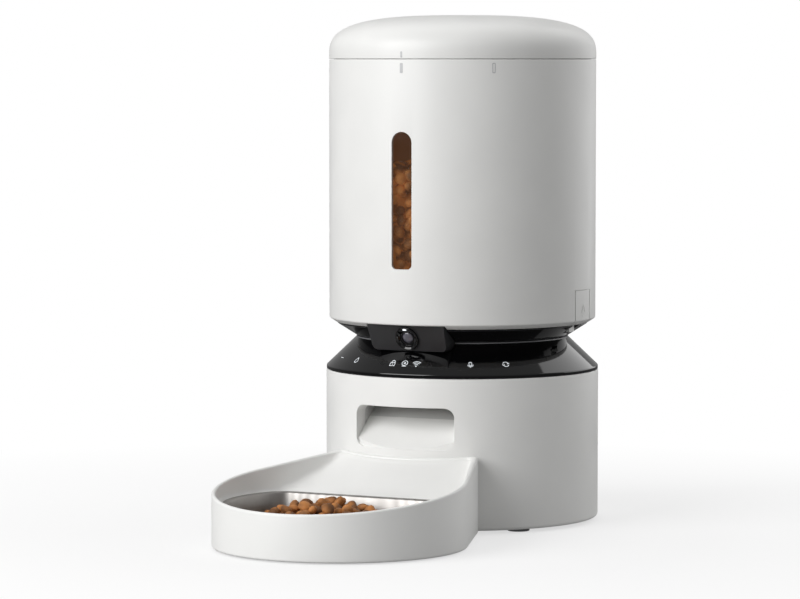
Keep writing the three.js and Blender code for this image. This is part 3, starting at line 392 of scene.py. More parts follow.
def piano_black(colours):
    """Polycarbonate from a polished mould: a mirror-like black that shows the studio, with a faint waviness."""
    material, tree, shader, place = blank_material("piano_black_polycarbonate")
    wave = noise(tree, place, 22 * MM, detail=1.0)
    dust = noise(tree, place, 1.2 * MM, detail=3.0)
    bump = add(tree, "ShaderNodeBump", {"Height": wave, "Strength": 0.06, "Distance": 0.1 * MM})
    feed(tree, shader, Base_Color=(*colours.gloss, 1), Roughness=spread(tree, dust, 0.05, 0.09),
         Normal=bump.outputs[0], IOR=1.58)
    return material


def camera_abs(colours):
    """Dark ABS with a fine matt texture, so the camera reads as a separate dull block in the glossy neck."""
    return moulded("matt_charcoal_abs", tuple(colours.camera), 0.42, 0.6 * MM, 0.02 * MM)


def smoked_acrylic(colours):
    """Smoke-tinted acrylic strip: dark and glossy, and the food shows brown through it."""
    material, tree, shader, place = blank_material("smoked_acrylic")
    haze = noise(tree, place, 9 * MM)
    feed(tree, shader, Base_Color=(*colours.window, 1), Roughness=spread(tree, haze, 0.05, 0.1), IOR=1.49,
         Alpha=0.16)
    return material


def kibble_material(colours, name="baked_kibble", glow=0.0):
    """Extruded, baked dry food: red-brown biscuit, each piece baked a little differently, with a porous skin."""
    material, tree, shader, place = blank_material(name)
    each = noise(tree, place, 11 * MM, detail=1.0)
    pores = noise(tree, place, 1.1 * MM, detail=5.0, roughness=0.7)
    bump = add(tree, "ShaderNodeBump", {"Height": pores, "Strength": 0.8, "Distance": 0.5 * MM})
    rgb = tuple(colours.food)
    pale = (rgb[0] * 1.5, rgb[1] * 1.45, rgb[2] * 1.2)
    warm = tinted(tree, spread(tree, each, 0, 1, 0.38, 0.62), shade(rgb, 0.5), pale)
    # Darker where the pores' bump is low: painted shade in the pits.
    pit_shaded_colour = add(tree, "ShaderNodeMix", data_type="RGBA", blend_type="MULTIPLY")
    pit_shaded_colour.inputs["Factor"].default_value = 0.55
    tree.links.new(warm, pit_shaded_colour.inputs[6])
    tree.links.new(tinted(tree, pores, (0.45, 0.4, 0.36), (1, 1, 1)), pit_shaded_colour.inputs[7])
    feed(tree, shader, Base_Color=pit_shaded_colour.outputs[2], Roughness=spread(tree, pores, 0.55, 0.75),
         Normal=bump.outputs[0], Specular_IOR_Level=0.35)
    # With glow, the food also gives off its own colour: painted light.
    if glow:
        feed(tree, shader, Emission_Color=pit_shaded_colour.outputs[2], Emission_Strength=glow)
    return material


def brushed_stainless():
    """Pressed stainless sheet, spun with a fine abrasive: bright, with faint rings that stretch highlights."""
    material, tree, shader, place = blank_material("spun_stainless")
    centred = add(tree, "ShaderNodeMapping", {"Vector": place, "Location": (0, -FRONT_ROUND_Y, 0)}).outputs[0]
    # Real lines are about 0.05 mm apart, too fine to show here, so they are drawn at 0.8 mm.
    lines = add(tree, "ShaderNodeTexWave", {
        "Vector": centred, "Scale": 1 / (0.8 * MM) / 20, "Distortion": 1.2, "Detail": 3.0, "Detail Scale": 2.0},
        wave_type="RINGS", rings_direction="Z").outputs["Fac"]
    smear = noise(tree, place, 30 * MM)
    bump = add(tree, "ShaderNodeBump", {"Height": lines, "Strength": 0.12, "Distance": 0.03 * MM})
    feed(tree, shader, Base_Color=tinted(tree, lines, linear("#918e8b"), linear("#a6a3a0")), Metallic=1.0,
         Roughness=spread(tree, smear, 0.34, 0.46), Normal=bump.outputs[0], Anisotropic=0.3)
    return material


def moulded_rubber():
    """Moulded grey rubber: nearly matt, with a fine stipple that dulls it."""
    return moulded("stippled_rubber", linear("#8b8b8c"), 0.8, 0.5 * MM, 0.05 * MM)


def clear_silicone():
    """Soft silicone: milky and slightly waxy, with a dusty bloom."""
    material, tree, shader, place = blank_material("milky_silicone")
    bloom = noise(tree, place, 6 * MM, detail=4.0)
    feed(tree, shader, Base_Color=tinted(tree, bloom, linear("#cfd4d8"), linear("#e3e7ea")),
         Roughness=spread(tree, bloom, 0.4, 0.6), IOR=1.41, Subsurface_Weight=0.2)
    shader.inputs["Subsurface Radius"].default_value = (2 * MM, 2 * MM, 2 * MM)
    return material


def solder_mask():
    """Green solder mask over copper: glossy, with lighter tracks showing through it."""
    material, tree, shader, place = blank_material("green_solder_mask")
    tracks = add(tree, "ShaderNodeTexBrick", {
        "Vector": place, "Scale": 1 / (4 * MM), "Mortar Size": 0.08, "Color1": (*linear("#1d6a3c"), 1),
        "Color2": (*linear("#1a5c35"), 1), "Mortar": (*linear("#3f9a5f"), 1)})
    bump = add(tree, "ShaderNodeBump", {"Height": tracks.outputs["Fac"], "Strength": 0.3, "Distance": 0.05 * MM})
    feed(tree, shader, Base_Color=tracks.outputs["Color"], Roughness=0.28, Normal=bump.outputs[0])
    return material


def zinc_plate():
    """Zinc-plated steel: a cool grey metal with a crystalline, uneven sheen."""
    material, tree, shader, place = blank_material("zinc_plated_steel")
    grains = add(tree, "ShaderNodeTexVoronoi", {"Vector": place, "Scale": 1 / (1.5 * MM)}).outputs["Distance"]
    feed(tree, shader, Base_Color=tinted(tree, grains, linear("#aeb2b6"), linear("#c6c9cc")), Metallic=1.0,
         Roughness=spread(tree, grains, 0.28, 0.45, 0.0, 0.8))
    return material


def cell_wrap():
    """Printed shrink film on a dry cell: a satin copper band over black."""
    material, tree, shader, place = blank_material("cell_shrink_film")
    along = add(tree, "ShaderNodeSeparateXYZ", {"Vector": place}).outputs["Y"]
    band = add(tree, "ShaderNodeMath", {0: along, 1: AXIS_Y + 12 * MM}, operation="GREATER_THAN").outputs[0]
    scuffs = noise(tree, place, 3 * MM, detail=4.0)
    feed(tree, shader, Base_Color=tinted(tree, band, linear("#1b1b1d"), linear("#b0703a")),
         Roughness=spread(tree, scuffs, 0.25, 0.4), IOR=1.57)
    return material


def coated_glass():
    """Coated lens glass: almost black, very glossy, with a faint violet bloom."""
    material, tree, shader, place = blank_material("coated_lens_glass")
    bloom = noise(tree, place, 3 * MM, detail=0.0)
    smudge = noise(tree, place, 2 * MM)
    feed(tree, shader, Base_Color=tinted(tree, bloom, linear("#4a4952"), linear("#77757f")),
         Roughness=spread(tree, smudge, 0.02, 0.06), IOR=1.6, Coat_Weight=1.0, Coat_Roughness=0.02)
    return material


def glowing_painted_highlight():
    """A glowing spot of milky plastic, cool white: painted highlight that stands in for the reflection on the top of
    the camera's ring.
    """
    material, tree, shader, place = blank_material("painted_highlight_glow")
    glow = noise(tree, place, 1 * MM)
    feed(tree, shader, Base_Color=tinted(tree, glow, linear("#dfe4ea"), linear("#ffffff")), Roughness=0.4,
         Emission_Strength=1.1)
    shader.inputs["Emission Color"].default_value = (0.9, 0.95, 1, 1)
    return material


def flat_print_and_painted_shade(name, code, glow=0.0):
    """Print under the gloss: flat, with the slight mottle of screen ink; on the grey tank and lid marks it is painted
    shade for their raised edges.
    """
    material, tree, shader, place = blank_material(name)
    mottle = noise(tree, place, 0.6 * MM)
    rgb = linear(code)
    feed(tree, shader, Base_Color=tinted(tree, mottle, shade(rgb, 0.92), rgb), Roughness=0.3, Emission_Strength=glow)
    shader.inputs["Emission Color"].default_value = (*rgb, 1)
    return material


FINISHES = {}


def make_finishes(colours):
    """Every finish, by the record's slot or by a name of its own."""
    FINISHES.update({
        "white_plastic": white_abs(colours),
        "grey_plastic": moulded("plain_grey_abs", linear("#d2d2d0"), 0.48, 0.9 * MM, 0.03 * MM),
        "desiccant_paper": moulded("nonwoven_sachet", linear("#e6e4dc"), 0.85, 0.35 * MM, 0.15 * MM),
        "black_gloss": piano_black(colours),
        "dark_plastic": camera_abs(colours),
        "seam_grey": moulded("satin_grey_trim", linear("#77777a"), 0.32, 0.5 * MM, 0.01 * MM),
        "smoke_window": smoked_acrylic(colours),
        "steel": brushed_stainless(),
        "rubber": moulded_rubber(),
        "silicone": clear_silicone(),
        "gear_plastic": moulded("cream_acetal", linear("#e9e3d1"), 0.36, 0.8 * MM, 0.01 * MM),
        "circuit_board": solder_mask(),
        "zinc": zinc_plate(),
        "battery_jacket": cell_wrap(),
        "lens_glass": coated_glass(),
        "camera_barrel": moulded("matt_black_barrel", linear("#19191b"), 0.35, 0.4 * MM, 0.01 * MM),
        # A glowing spot on the camera's ring: painted highlight.
        "lamp": glowing_painted_highlight(),
        "lit_print": flat_print_and_painted_shade("lit_icon_print", "#eef2f5", glow=0.45),
        "unlit_print": flat_print_and_painted_shade("unlit_icon_print", "#1d1d1f"),
        # The raised marks on the tank and lid are painted grey: painted shade for their embossed edges.
        "mark_print": flat_print_and_painted_shade("grey_painted_shade_mark", "#c6c6c8"),
        "kibble": kibble_material(colours),
        # The tank's white walls pass some light; this food glows a little instead, painted light that makes it
        # brighter than its own colour.
        "kibble_in_tank": kibble_material(colours, "baked_kibble_painted_glow", 0.3),
    })


# ---- Housing and base ----
def opening_outline(width, bottom, top, lower, upper, steps=8):
    """A rectangle with rounded corners, as (across, up) points."""
    half = width / 2
    return bend([(-half, bottom, lower), (half, bottom, lower), (half, top, upper), (-half, top, upper)], steps)


class FEEDER_OT_housing(bpy.types.Operator):
    """Builds the white base housing with its food opening, tray slots, grille and inlet hole"""

    bl_idname = "feeder.housing"
    bl_label = "Base housing"

    def execute(self, context):
        s = context.scene.feeder_sizes
        inner = s.body_radius - s.wall
        shell = turn(bend([
            (inner, s.base_bottom), (s.body_radius, s.base_bottom, 2.6 * MM),
            (s.body_radius, s.base_top, 0.7 * MM), (inner, s.base_top, 0.3 * MM),
        ]), steps=200)
        outline = opening_outline(
            s.opening_width, s.opening_bottom, s.opening_top, OPENING_CORNER, OPENING_CORNER)
        reach = s.body_radius + PAST
        tools = [forward(slab(outline, -reach, -s.body_radius / 2))]
        for x in (-HOOK_X, HOOK_X):
            tools.append(block((x - 7.6 * MM, -reach, 17.4 * MM), (x + 7.6 * MM, -s.body_radius / 2, 26.6 * MM)))
        for i in range(-2, 3):
            half = math.sqrt(GRILLE_RADIUS ** 2 - (GRILLE_PITCH * i) ** 2)
            low = GRILLE_HEIGHT + GRILLE_PITCH * i - GRILLE_HALF_SLOT
            high, end = low + 2 * GRILLE_HALF_SLOT, 0.95 * MM
            slot = bend([(-half, low, end), (half, low, end), (half, high, end), (-half, high, end)], 4)
            tools.append(forward(slab(slot, s.body_radius / 2, reach)))
        jack = turn([(0, 0), (INLET_RADIUS, 0), (INLET_RADIUS, 30 * MM), (0, 30 * MM)], 48)
        tools.append(moved(jack, Matrix.Translation((0, s.body_radius - 15 * MM, INLET_HEIGHT))
                           @ Matrix.Rotation(-QUARTER, 4, "X")))
        shell = cut(shell, tools)
        piece("base_housing_shell", shell, FINISHES["white_plastic"], "base",
              ["base_housing"], soften=0.7 * MM, crease=40)
        grown = opening_outline(s.opening_width + 3 * MM, s.opening_bottom - 1.5 * MM, s.opening_top + 1.5 * MM,
                                8.5 * MM, 8.5 * MM)
        # A little smaller than the chute's own walls, so that no two faces lie in one plane.
        step = 0.15 * MM
        lined = opening_outline(s.opening_width - 2 * step, s.opening_bottom + step, s.opening_top - step,
                                OPENING_CORNER, OPENING_CORNER)
        face, back = s.body_radius - 1.6 * MM, -s.body_radius + LINING_DEPTH
        wide, narrow = ([(x, -math.sqrt(face ** 2 - x ** 2), z) for x, z in edge] for edge in (grown, lined))
        rear = [[(x, back, z) for x, z in edge] for edge in (grown, lined)]
        sleeve = loft([wide, *rear, narrow, wide], capped=False)
        bmesh.ops.remove_doubles(sleeve, verts=sleeve.verts, dist=0.01 * MM)
        bmesh.ops.recalc_face_normals(sleeve, faces=sleeve.faces)
        piece("opening_sleeve", sleeve, FINISHES["white_plastic"], "base", crease=40)
        # The sill fills the corners between the sloping chute and the rounded foot of the opening.
        slope, mouth, depth = math.tan(math.radians(CHUTE_SLOPE)), s.body_radius - s.wall, 26 * MM
        top = s.opening_bottom + 0.15 * MM
        side = [(-mouth - 5 * MM, s.opening_bottom - 4 * MM), (-mouth - 5 * MM, top), (-mouth, top),
                (-mouth + depth, top + depth * slope), (-mouth + depth, s.opening_bottom - 4 * MM)]
        half, face = s.opening_width / 2 + 0.5 * MM, s.body_radius - 2.2 * MM
        wedge = loft([[(x, y, z) for y, z in side] for x in (-half, half)])
        bore = turn([(0, 0), (face, 0), (face, s.base_top), (0, s.base_top)], 200)
        lining = forward(slab(grown, -s.body_radius - MM, -mouth + depth + MM))
        sill = cut(cut(wedge, [bore], "INTERSECT"), [lining], "INTERSECT")
        piece("opening_sill", sill, FINISHES["white_plastic"], "base", crease=40)
        return {"FINISHED"}


class FEEDER_OT_feet(bpy.types.Operator):
    """Builds the rubber feet and the tray's pads, each with a rounded edge and a shallow dish"""

    bl_idname = "feeder.feet"
    bl_label = "Feet and pads"

    def execute(self, context):
        for name in [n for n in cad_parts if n.startswith(("foot_", "tray_pad_"))]:
            low, high = node_box(name)
            radius, height = (high.x - low.x) / 2, high.z - low.z
            foot = turn(bend([
                (0, 0.4 * MM), (radius * 0.6, 0.4 * MM, 0.3 * MM), (radius * 0.7, 0, 0.3 * MM), (radius, 0, 0.6 * MM),
                (radius, height, 0.3 * MM), (0, height),
            ]), steps=48)
            place = Matrix.Translation(((low.x + high.x) / 2, (low.y + high.y) / 2, low.z))
            body = "bowl_tray" if name.startswith("tray") else "base"
            piece(name + "_rubber", foot, FINISHES["rubber"], body, [name], place=place)
        return {"FINISHED"}


# ---- Neck, camera and touch keys ----
def camera_pocket(s, gap):
    """The space in the neck that the camera housing fills, grown by gap, open to the front."""
    low, high = CAMERA_LOW, CAMERA_HIGH
    half = high.x
    foot = half - 1.5 * MM
    outline = bend([(-foot - gap, low.z - gap, 4 * MM), (foot + gap, low.z - gap, 4 * MM),
                    (half + gap, high.z + 2 * gap), (-half - gap, high.z + 2 * gap)], 6)
    return forward(slab(outline, -s.body_radius - PAST, -s.waist_radius + 35 * MM))


def cone_radius(s, height):
    """Outer radius of the control ring's cone."""
    low = s.base_top + RING_LIP
    share = (height - low) / (s.waist_height - low)
    return s.body_radius - RING_INSET + share * (s.waist_radius - s.body_radius + RING_INSET)


class FEEDER_OT_neck(bpy.types.Operator):
    """Builds the glossy control ring, the neck cup above it and the thin seam at the waist"""

    bl_idname = "feeder.neck"
    bl_label = "Neck"

    def execute(self, context):
        s = context.scene.feeder_sizes
        low, lip = s.base_top + 0.3 * MM, s.base_top + RING_LIP
        outer, top = s.body_radius - RING_INSET, s.waist_height - 0.8 * MM
        ring = turn(bend([
            (outer - 3.5 * MM, low), (outer, low, 0.3 * MM), (outer, lip, 1.1 * MM),
            (cone_radius(s, top), top, 0.3 * MM), (cone_radius(s, top) - 3.5 * MM, top),
            (outer - 3.5 * MM, lip),
        ]), steps=240)
        ring = cut(ring, [camera_pocket(s, CUT_GAP)])
        piece("touch_control_ring", ring, FINISHES["black_gloss"], "base", ["control_ring"])
        inside, outside = s.waist_radius - 2.5 * MM, s.waist_radius + 0.5 * MM
        seam = turn([(inside, top), (outside, top), (outside, s.waist_height), (inside, s.waist_height)], steps=240)
        piece("waist_trim", cut(seam, [camera_pocket(s, CUT_GAP)]), FINISHES["seam_grey"], "base",
              ["waist_seam"])
        top = s.tank_bottom - 0.3 * MM
        cup = turn(bend([
            (s.waist_radius - s.wall, s.waist_height + 0.2 * MM),
            (s.waist_radius, s.waist_height + 0.2 * MM, 0.2 * MM),
            (s.cup_radius, top, 0.5 * MM), (s.cup_radius - s.wall, top, 0.5 * MM),
        ]), steps=240)
        tools = [camera_pocket(s, CUT_GAP)]
        for side in (-1, 1):
            inner, outer = sorted((side * (s.cup_radius - 14 * MM), side * (s.cup_radius + 5 * MM)))
            tools.append(block((inner, -5.1 * MM, top - 6 * MM), (outer, 5.1 * MM, top + 5 * MM)))
        piece("glossy_neck_cup", cut(cup, tools), FINISHES["black_gloss"], "base", ["neck_cup"])
        return {"FINISHED"}


def camera_frame():
    """The place of the camera's face: +Z comes out along the lens."""
    rise = CAMERA_HIGH.z - CAMERA_LOW.z
    middle = Vector((0, CAMERA_LOW.y + CAMERA_LEAN / 2, (CAMERA_LOW.z + CAMERA_HIGH.z) / 2))
    return Matrix.Translation(middle) @ Matrix.Rotation(QUARTER + math.atan2(CAMERA_LEAN, rise), 4, "X")


class FEEDER_OT_camera(bpy.types.Operator):
    """Builds the camera housing, its bezel, the stepped lens and a small glowing spot on the ring, a painted
    highlight
    """

    bl_idname = "feeder.camera"
    bl_label = "Camera"

    def execute(self, context):
        s = context.scene.feeder_sizes
        low, high = CAMERA_LOW - Vector((0, AXIS_Y, 0)), CAMERA_HIGH - Vector((0, AXIS_Y, 0))
        side = [(low.y, high.z), (low.y + CAMERA_LEAN, low.z), (high.y, low.z), (high.y, high.z)]
        wedge = loft([[(x, y, z) for y, z in side] for x in (-60 * MM, 60 * MM)])
        housing = cut(wedge, [camera_pocket(s, 0)], "INTERSECT")
        bore = turn([(0, -9 * MM), (7.5 * MM, -9 * MM), (7.5 * MM, 9 * MM), (0, 9 * MM)], 72)
        inverse = Matrix.Translation((0, -AXIS_Y, 0)) @ camera_frame()
        notch = block((-1.2 * MM, -9.6 * MM, -1.2 * MM), (1.2 * MM, -8.6 * MM, 3 * MM))
        housing = cut(housing, [moved(bore, inverse), moved(notch, inverse)])
        piece("camera_block", housing, FINISHES["dark_plastic"], "base", ["camera_housing"],
              soften=0.45 * MM)
        bezel = turn(bend([
            (5.6 * MM, -2.6 * MM), (7.2 * MM, -2.6 * MM), (7.2 * MM, 0.3 * MM), (9 * MM, 0.3 * MM),
            (9 * MM, 1.5 * MM, 0.5 * MM), (8.1 * MM, 1.9 * MM, 0.3 * MM), (6.9 * MM, 1.0 * MM, 0.3 * MM),
            (5.6 * MM, 0.5 * MM, 0.2 * MM),
        ]), steps=96)
        piece("camera_bezel_ring", bezel, FINISHES["black_gloss"], "base", ["camera_bezel"],
              place=camera_frame())
        barrel = turn(bend([
            (0, -3.4 * MM), (5.3 * MM, -3.4 * MM), (5.3 * MM, 0.2 * MM, 0.2 * MM), (4.7 * MM, 0.2 * MM),
            (4.5 * MM, -0.6 * MM), (4.3 * MM, -1.2 * MM), (0, -1.2 * MM),
        ]), steps=72)
        piece("camera_lens_barrel", barrel, FINISHES["camera_barrel"], "base", ["camera_lens"],
              place=camera_frame())
        dome = turn([(0, -1.1 * MM)] + [
            (4.2 * MM * math.cos(a), -1.1 * MM + 1.5 * MM * math.sin(a)) for a in
            (i * QUARTER / 8 for i in range(8))] + [(0, 0.4 * MM)], steps=64)
        piece("camera_front_glass", dome, FINISHES["lens_glass"], "base", place=camera_frame())
        # A small glowing spot at the top of the ring: painted highlight, standing in for its reflection.
        lamp = bmesh.new()
        bmesh.ops.create_uvsphere(lamp, u_segments=20, v_segments=12, radius=0.5)
        bmesh.ops.scale(lamp, vec=(3.2 * MM, 1.3 * MM, 1.1 * MM), verts=lamp.verts)
        piece("camera_ring_painted_highlight", lamp, FINISHES["lamp"], "base", ["camera_lamp"],
              place=camera_frame() @ Matrix.Translation((0, 7.6 * MM, 1.7 * MM)))
        return {"FINISHED"}


ICON_DEPTH = 0.12 * MM


def stroke(points, width, closed=False):
    """A flat line through (x, y) points, drawn as a thin raised bar; points in millimetres."""
    parts = []
    pairs = list(zip(points, points[1:] + points[:1] if closed else points[1:]))
    for start, end in pairs:
        a, b = Vector(start) * MM, Vector(end) * MM
        along = b - a
        bar = block((-width / 2, 0, 0), (width / 2, along.length + width / 2, ICON_DEPTH))
        angle = math.atan2(along.y, along.x) - QUARTER
        parts.append(moved(bar, Matrix.Translation((a.x, a.y, 0)) @ Matrix.Rotation(angle, 4, "Z")))
    return parts


def arc(centre, radius, start, end, steps=14):
    """Points along an arc, in millimetres; angles in degrees."""
    turns = [math.radians(start + (end - start) * i / steps) for i in range(steps + 1)]
    return [(centre[0] + radius * math.cos(t), centre[1] + radius * math.sin(t)) for t in turns]


def icon_parts(kind):
    """The strokes of one icon, about 5.5 mm high."""
    fine = 0.34 * MM
    if kind == "padlock":
        body = stroke([(-1.9, -2.4), (1.9, -2.4), (1.9, 0.4), (-1.9, 0.4)], fine, closed=True)
        bow = stroke([(-1.2, 0.4)] + arc((0, 1.3), 1.2, 180, 0) + [(1.2, 0.4)], fine)
        return body + bow + stroke([(0, -1.4), (0, -0.7)], fine)
    if kind == "camera":
        eye = stroke(arc((0, 0.5), 2.2, 0, 360, 22), fine) + stroke(arc((0, 0.5), 0.6, 0, 360, 10), fine)
        return eye + stroke([(-1.6, -2.4), (1.6, -2.4)], fine)
    if kind == "wireless":
        waves = [stroke(arc((0, -2.0), radius, 45, 135), fine) for radius in (1.7, 3.0, 4.3)]
        return sum(waves, []) + stroke(arc((0, -2.0), 0.35, 0, 360, 8), fine)
    if kind == "microphone":
        body = stroke(arc((0, 1.4), 1.0, 0, 180) + arc((0, 0.2), 1.0, 180, 360), fine, closed=True)
        return body + stroke(arc((0, 0.2), 2.0, 190, 350), fine) + stroke([(0, -1.8), (0, -2.5)], fine)
    if kind == "refresh":
        halves = stroke(arc((0, 0), 2.1, 20, 160), fine) + stroke(arc((0, 0), 2.1, 200, 340), fine)
        tip = [(2.7, 0.1), (1.9, 0.9), (1.1, 0.1)]
        return halves + stroke(tip, fine) + stroke([(-x, -y) for x, y in tip], fine)
    if kind == "arc":
        return stroke(arc((0, 0), 2.2, 200, 340), fine) + stroke(arc((0, 0), 1.1, 0, 360), fine)
    if kind == "triangle":
        return stroke([(-2.2, -2.0), (2.2, -2.0), (0, 2.2)], fine, closed=True)
    if kind == "drop":
        return stroke(arc((0, -0.6), 1.7, 150, 390, 18) + [(0, 2.4)], fine, closed=True)
    return stroke([(-2.4, 0), (-0.8, 0)], fine) + stroke([(0.2, 0), (2.4, 0)], fine)


ICONS = [
    ("arc", -12, False), ("padlock", -6, True), ("camera", 0, True), ("wireless", 5.8, True),
    ("triangle", 11.8, False), ("microphone", 30, True), ("refresh", 46, True),
    ("drop", -29, True), ("bars", -44.5, True),
]


class FEEDER_OT_icons(bpy.types.Operator):
    """Builds the touch keys' lit and unlit icons on the cone of the control ring"""

    bl_idname = "feeder.icons"
    bl_label = "Touch icons"

    def execute(self, context):
        s = context.scene.feeder_sizes
        height = s.base_top + ICON_HEIGHT
        run = cone_radius(s, height) - cone_radius(s, height + MM)
        slope = math.atan2(run, MM)
        for kind, azimuth, lit in ICONS:
            icon = joined(icon_parts(kind))
            bmesh.ops.remove_doubles(icon, verts=icon.verts, dist=1e-7)
            stand = Matrix.Rotation(math.radians(azimuth), 4, "Z") @ Matrix.Translation(
                (0, -cone_radius(s, height) + 0.02 * MM, height)) @ Matrix.Rotation(QUARTER - slope, 4, "X")
            finish = FINISHES["lit_print" if lit else "unlit_print"]
            piece(f"icon_{kind}", icon, finish, "base", place=TOWER @ stand)
        return {"FINISHED"}


# ---- Food tank ----
def tank_profile(s):
    """Section of the tank's shell: a lip that turns in at the bottom, and a straight wall."""
    lip = s.tank_bottom + 3.1 * MM
    inner = s.tank_radius - s.wall
    return bend([
        (s.cup_radius, s.tank_bottom, 0.3 * MM), (s.tank_radius, lip, 1.6 * MM),
        (s.tank_radius, s.tank_top, 0.7 * MM), (inner, s.tank_top, 0.4 * MM),
        (inner, lip + 1.5 * MM), (s.cup_radius - 1.5 * MM, s.tank_bottom + 2 * MM),
    ])


def window_outline(s, grow):
    """The window's outline: a round head and slightly rounded feet."""
    bottom = s.tank_bottom + 42.6 * MM
    half = s.window_width / 2 + grow
    top = bottom + s.window_length + grow
    return opening_outline(2 * half, bottom - grow, top, 3.5 * MM + grow, half - 0.01 * MM, 12)


class FEEDER_OT_tank(bpy.types.Operator):
    """Builds the white food tank, its smoked window and the raised lid marks, painted grey as shade"""

    bl_idname = "feeder.tank"
    bl_label = "Food tank"

    def execute(self, context):
        s = context.scene.feeder_sizes
        reach, middle, under = s.body_radius + PAST, -s.body_radius / 2, s.tank_bottom - 5 * MM
        tools = [forward(slab(window_outline(s, 0), -reach, middle))]
        notch = CAMERA_HIGH.x + 0.6 * MM
        tools.append(block((-notch, -reach, under), (notch, middle, CAMERA_HIGH.z + 0.4 * MM)))
        for side in (-1, 1):
            inner, outer = sorted((side * (s.tank_radius - TAB_ROOM), side * reach))
            tools.append(block((inner, -TAB_HALF, under), (outer, TAB_HALF, s.tank_bottom + TAB_TOP)))
        shell = cut(turn(tank_profile(s), steps=240), tools)
        piece("tank_shell", shell, FINISHES["white_plastic"], "hopper", ["hopper_shell"],
              soften=0.4 * MM, crease=40)
        outer, inner = s.tank_radius - 0.5 * MM, s.tank_radius - s.wall - 1.9 * MM
        low, high = s.tank_bottom, s.tank_top
        tube = turn([(inner, low), (outer, low), (outer, high), (inner, high)], steps=240)
        pane = cut(tube, [forward(slab(window_outline(s, -0.2 * MM), -reach, middle))], "INTERSECT")
        piece("tank_window", pane, FINISHES["smoke_window"], "hopper", ["hopper_window"],
              soften=0.25 * MM, crease=40)
        for name, azimuth, body, low, high in (
                ("closed_mark", 0, "hopper", -9.8, -2.6), ("open_mark", 39.5, "hopper", -9.8, -2.6),
                ("lid_mark", 0, "lid", 1.0, 5.6)):
            width = 1.5 * MM if body == "lid" else 2.3 * MM
            pill = slab(opening_outline(
                width, s.tank_top + low * MM, s.tank_top + high * MM, 0.7 * MM, 0.7 * MM), 0, 0.35 * MM)
            if name == "open_mark":
                pill = cut(pill, [slab(opening_outline(
                    1.3 * MM, s.tank_top + (low + 0.5) * MM, s.tank_top + (high - 0.5) * MM, 0.6 * MM, 0.6 * MM),
                    -0.2 * MM, 0.6 * MM)])
            place = TOWER @ Matrix.Rotation(math.radians(azimuth), 4, "Z") @ Matrix.Translation(
                (0, -s.tank_radius - 0.12 * MM, 0))
            # The pill's grey is painted shade, standing in for the shading of an embossed mark.
            piece(name, forward(pill), FINISHES["mark_print"], body, place=place)
        return {"FINISHED"}


class FEEDER_OT_tabs(bpy.types.Operator):
    """Builds the two release tabs, each with a raised arrow and a plain bar"""

    bl_idname = "feeder.tabs"
    bl_label = "Release tabs"

    def execute(self, context):
        s = context.scene.feeder_sizes
        half, top = TAB_HALF - TAB_SIDE_GAP, s.tank_bottom + TAB_TOP - TAB_TOP_GAP
        lug = 4.5 * MM
        for side, word in ((-1, "left"), (1, "right")):
            inner, outer = sorted((side * (s.tank_radius - TAB_ROOM), side * (s.body_radius + PAST)))
            window = block((inner, -half, s.tank_bottom - MM), (outer, half, top))
            cover = cut(turn(tank_profile(s), steps=240), [window], "INTERSECT")
            hook_in = side * (s.cup_radius - 7 * MM)
            boxes = []
            for reach, low in ((s.cup_radius - 4.5 * MM, -5.3 * MM), (s.tank_radius - 1 * MM, 4.5 * MM)):
                a, b = sorted((hook_in, side * reach))
                boxes.append(block((a, -lug, s.tank_bottom + low), (b, lug, s.tank_bottom + 6.5 * MM)))
            cover = cut(cover, [joined(boxes)], "UNION")
            body = f"tab_{word}"
            piece(f"tab_{word}_cover", cover, FINISHES["white_plastic"], body,
                  [f"release_tab_{word}"], soften=0.35 * MM, crease=40)
            arrow = joined(stroke([(-2.9, 9.2), (2.9, 9.2), (0, 14.2)], 0.6 * MM, closed=True)
                           + stroke([(-2.6, 6.6), (2.6, 6.6)], 0.9 * MM))
            place = TOWER @ Matrix.Rotation(side * QUARTER, 4, "Z") @ Matrix.Translation(
                (0, -s.tank_radius - 0.2 * MM, s.tank_bottom)) @ Matrix.Rotation(QUARTER, 4, "X")
            piece(f"tab_{word}_arrow", arrow, FINISHES["white_plastic"], body, place=place)
        return {"FINISHED"}


# ---- Lid, funnel and what hangs under the lid ----
class FEEDER_OT_lid(bpy.types.Operator):
    """Builds the domed lid and the plug under it"""

    bl_idname = "feeder.lid"
    bl_label = "Lid"

    def execute(self, context):
        s = context.scene.feeder_sizes
        base, rise = s.tank_top + 0.3 * MM, LID_HIGH.z - s.tank_top - 0.3 * MM
        radius, band = s.tank_radius + 0.1 * MM, 2 * MM

        def dome(outer, height, steps=40):
            """Points from the rim up to the middle of a soft dome."""
            turns = [QUARTER * i / steps for i in range(steps + 1)]
            return [(outer * max(math.cos(a), 0) ** (2 / 3), height * math.sin(a) ** (2 / 3)) for a in turns]

        top = [(r, base + band + z) for r, z in dome(radius, rise - band)]
        under = [(r, base + band + z) for r, z in dome(radius - s.wall, rise - band - s.wall)]
        path = [(radius - s.wall, base), (radius - 0.4 * MM, base), (radius, base + 0.4 * MM)] + top + under[::-1]
        path = [(0 if r < 1e-5 else r, z) for r, z in path]
        piece("lid_dome", turn(path, steps=240), FINISHES["white_plastic"], "lid",
              ["lid_shell"], crease=40)
        low, high = node_box("lid_plug")
        outer = high.x
        groove_top, groove_low = high.z - 8 * MM, high.z - 11.6 * MM
        plug = turn(bend([
            (outer - 2.2 * MM, low.z), (outer, low.z, 0.5 * MM), (outer, groove_low), (outer - 1.5 * MM, groove_low),
            (outer - 1.5 * MM, groove_top), (outer, groove_top), (outer, high.z - 0.3 * MM, 0.3 * MM),
            (0, high.z - 0.3 * MM), (0, high.z - 2.5 * MM), (outer - 3.5 * MM, high.z - 2.5 * MM),
            (outer - 3.5 * MM, low.z + 3 * MM),
        ]), steps=160)
        piece("lid_plug_cup", plug, FINISHES["grey_plastic"], "lid_carrier", ["lid_plug"])
        return {"FINISHED"}


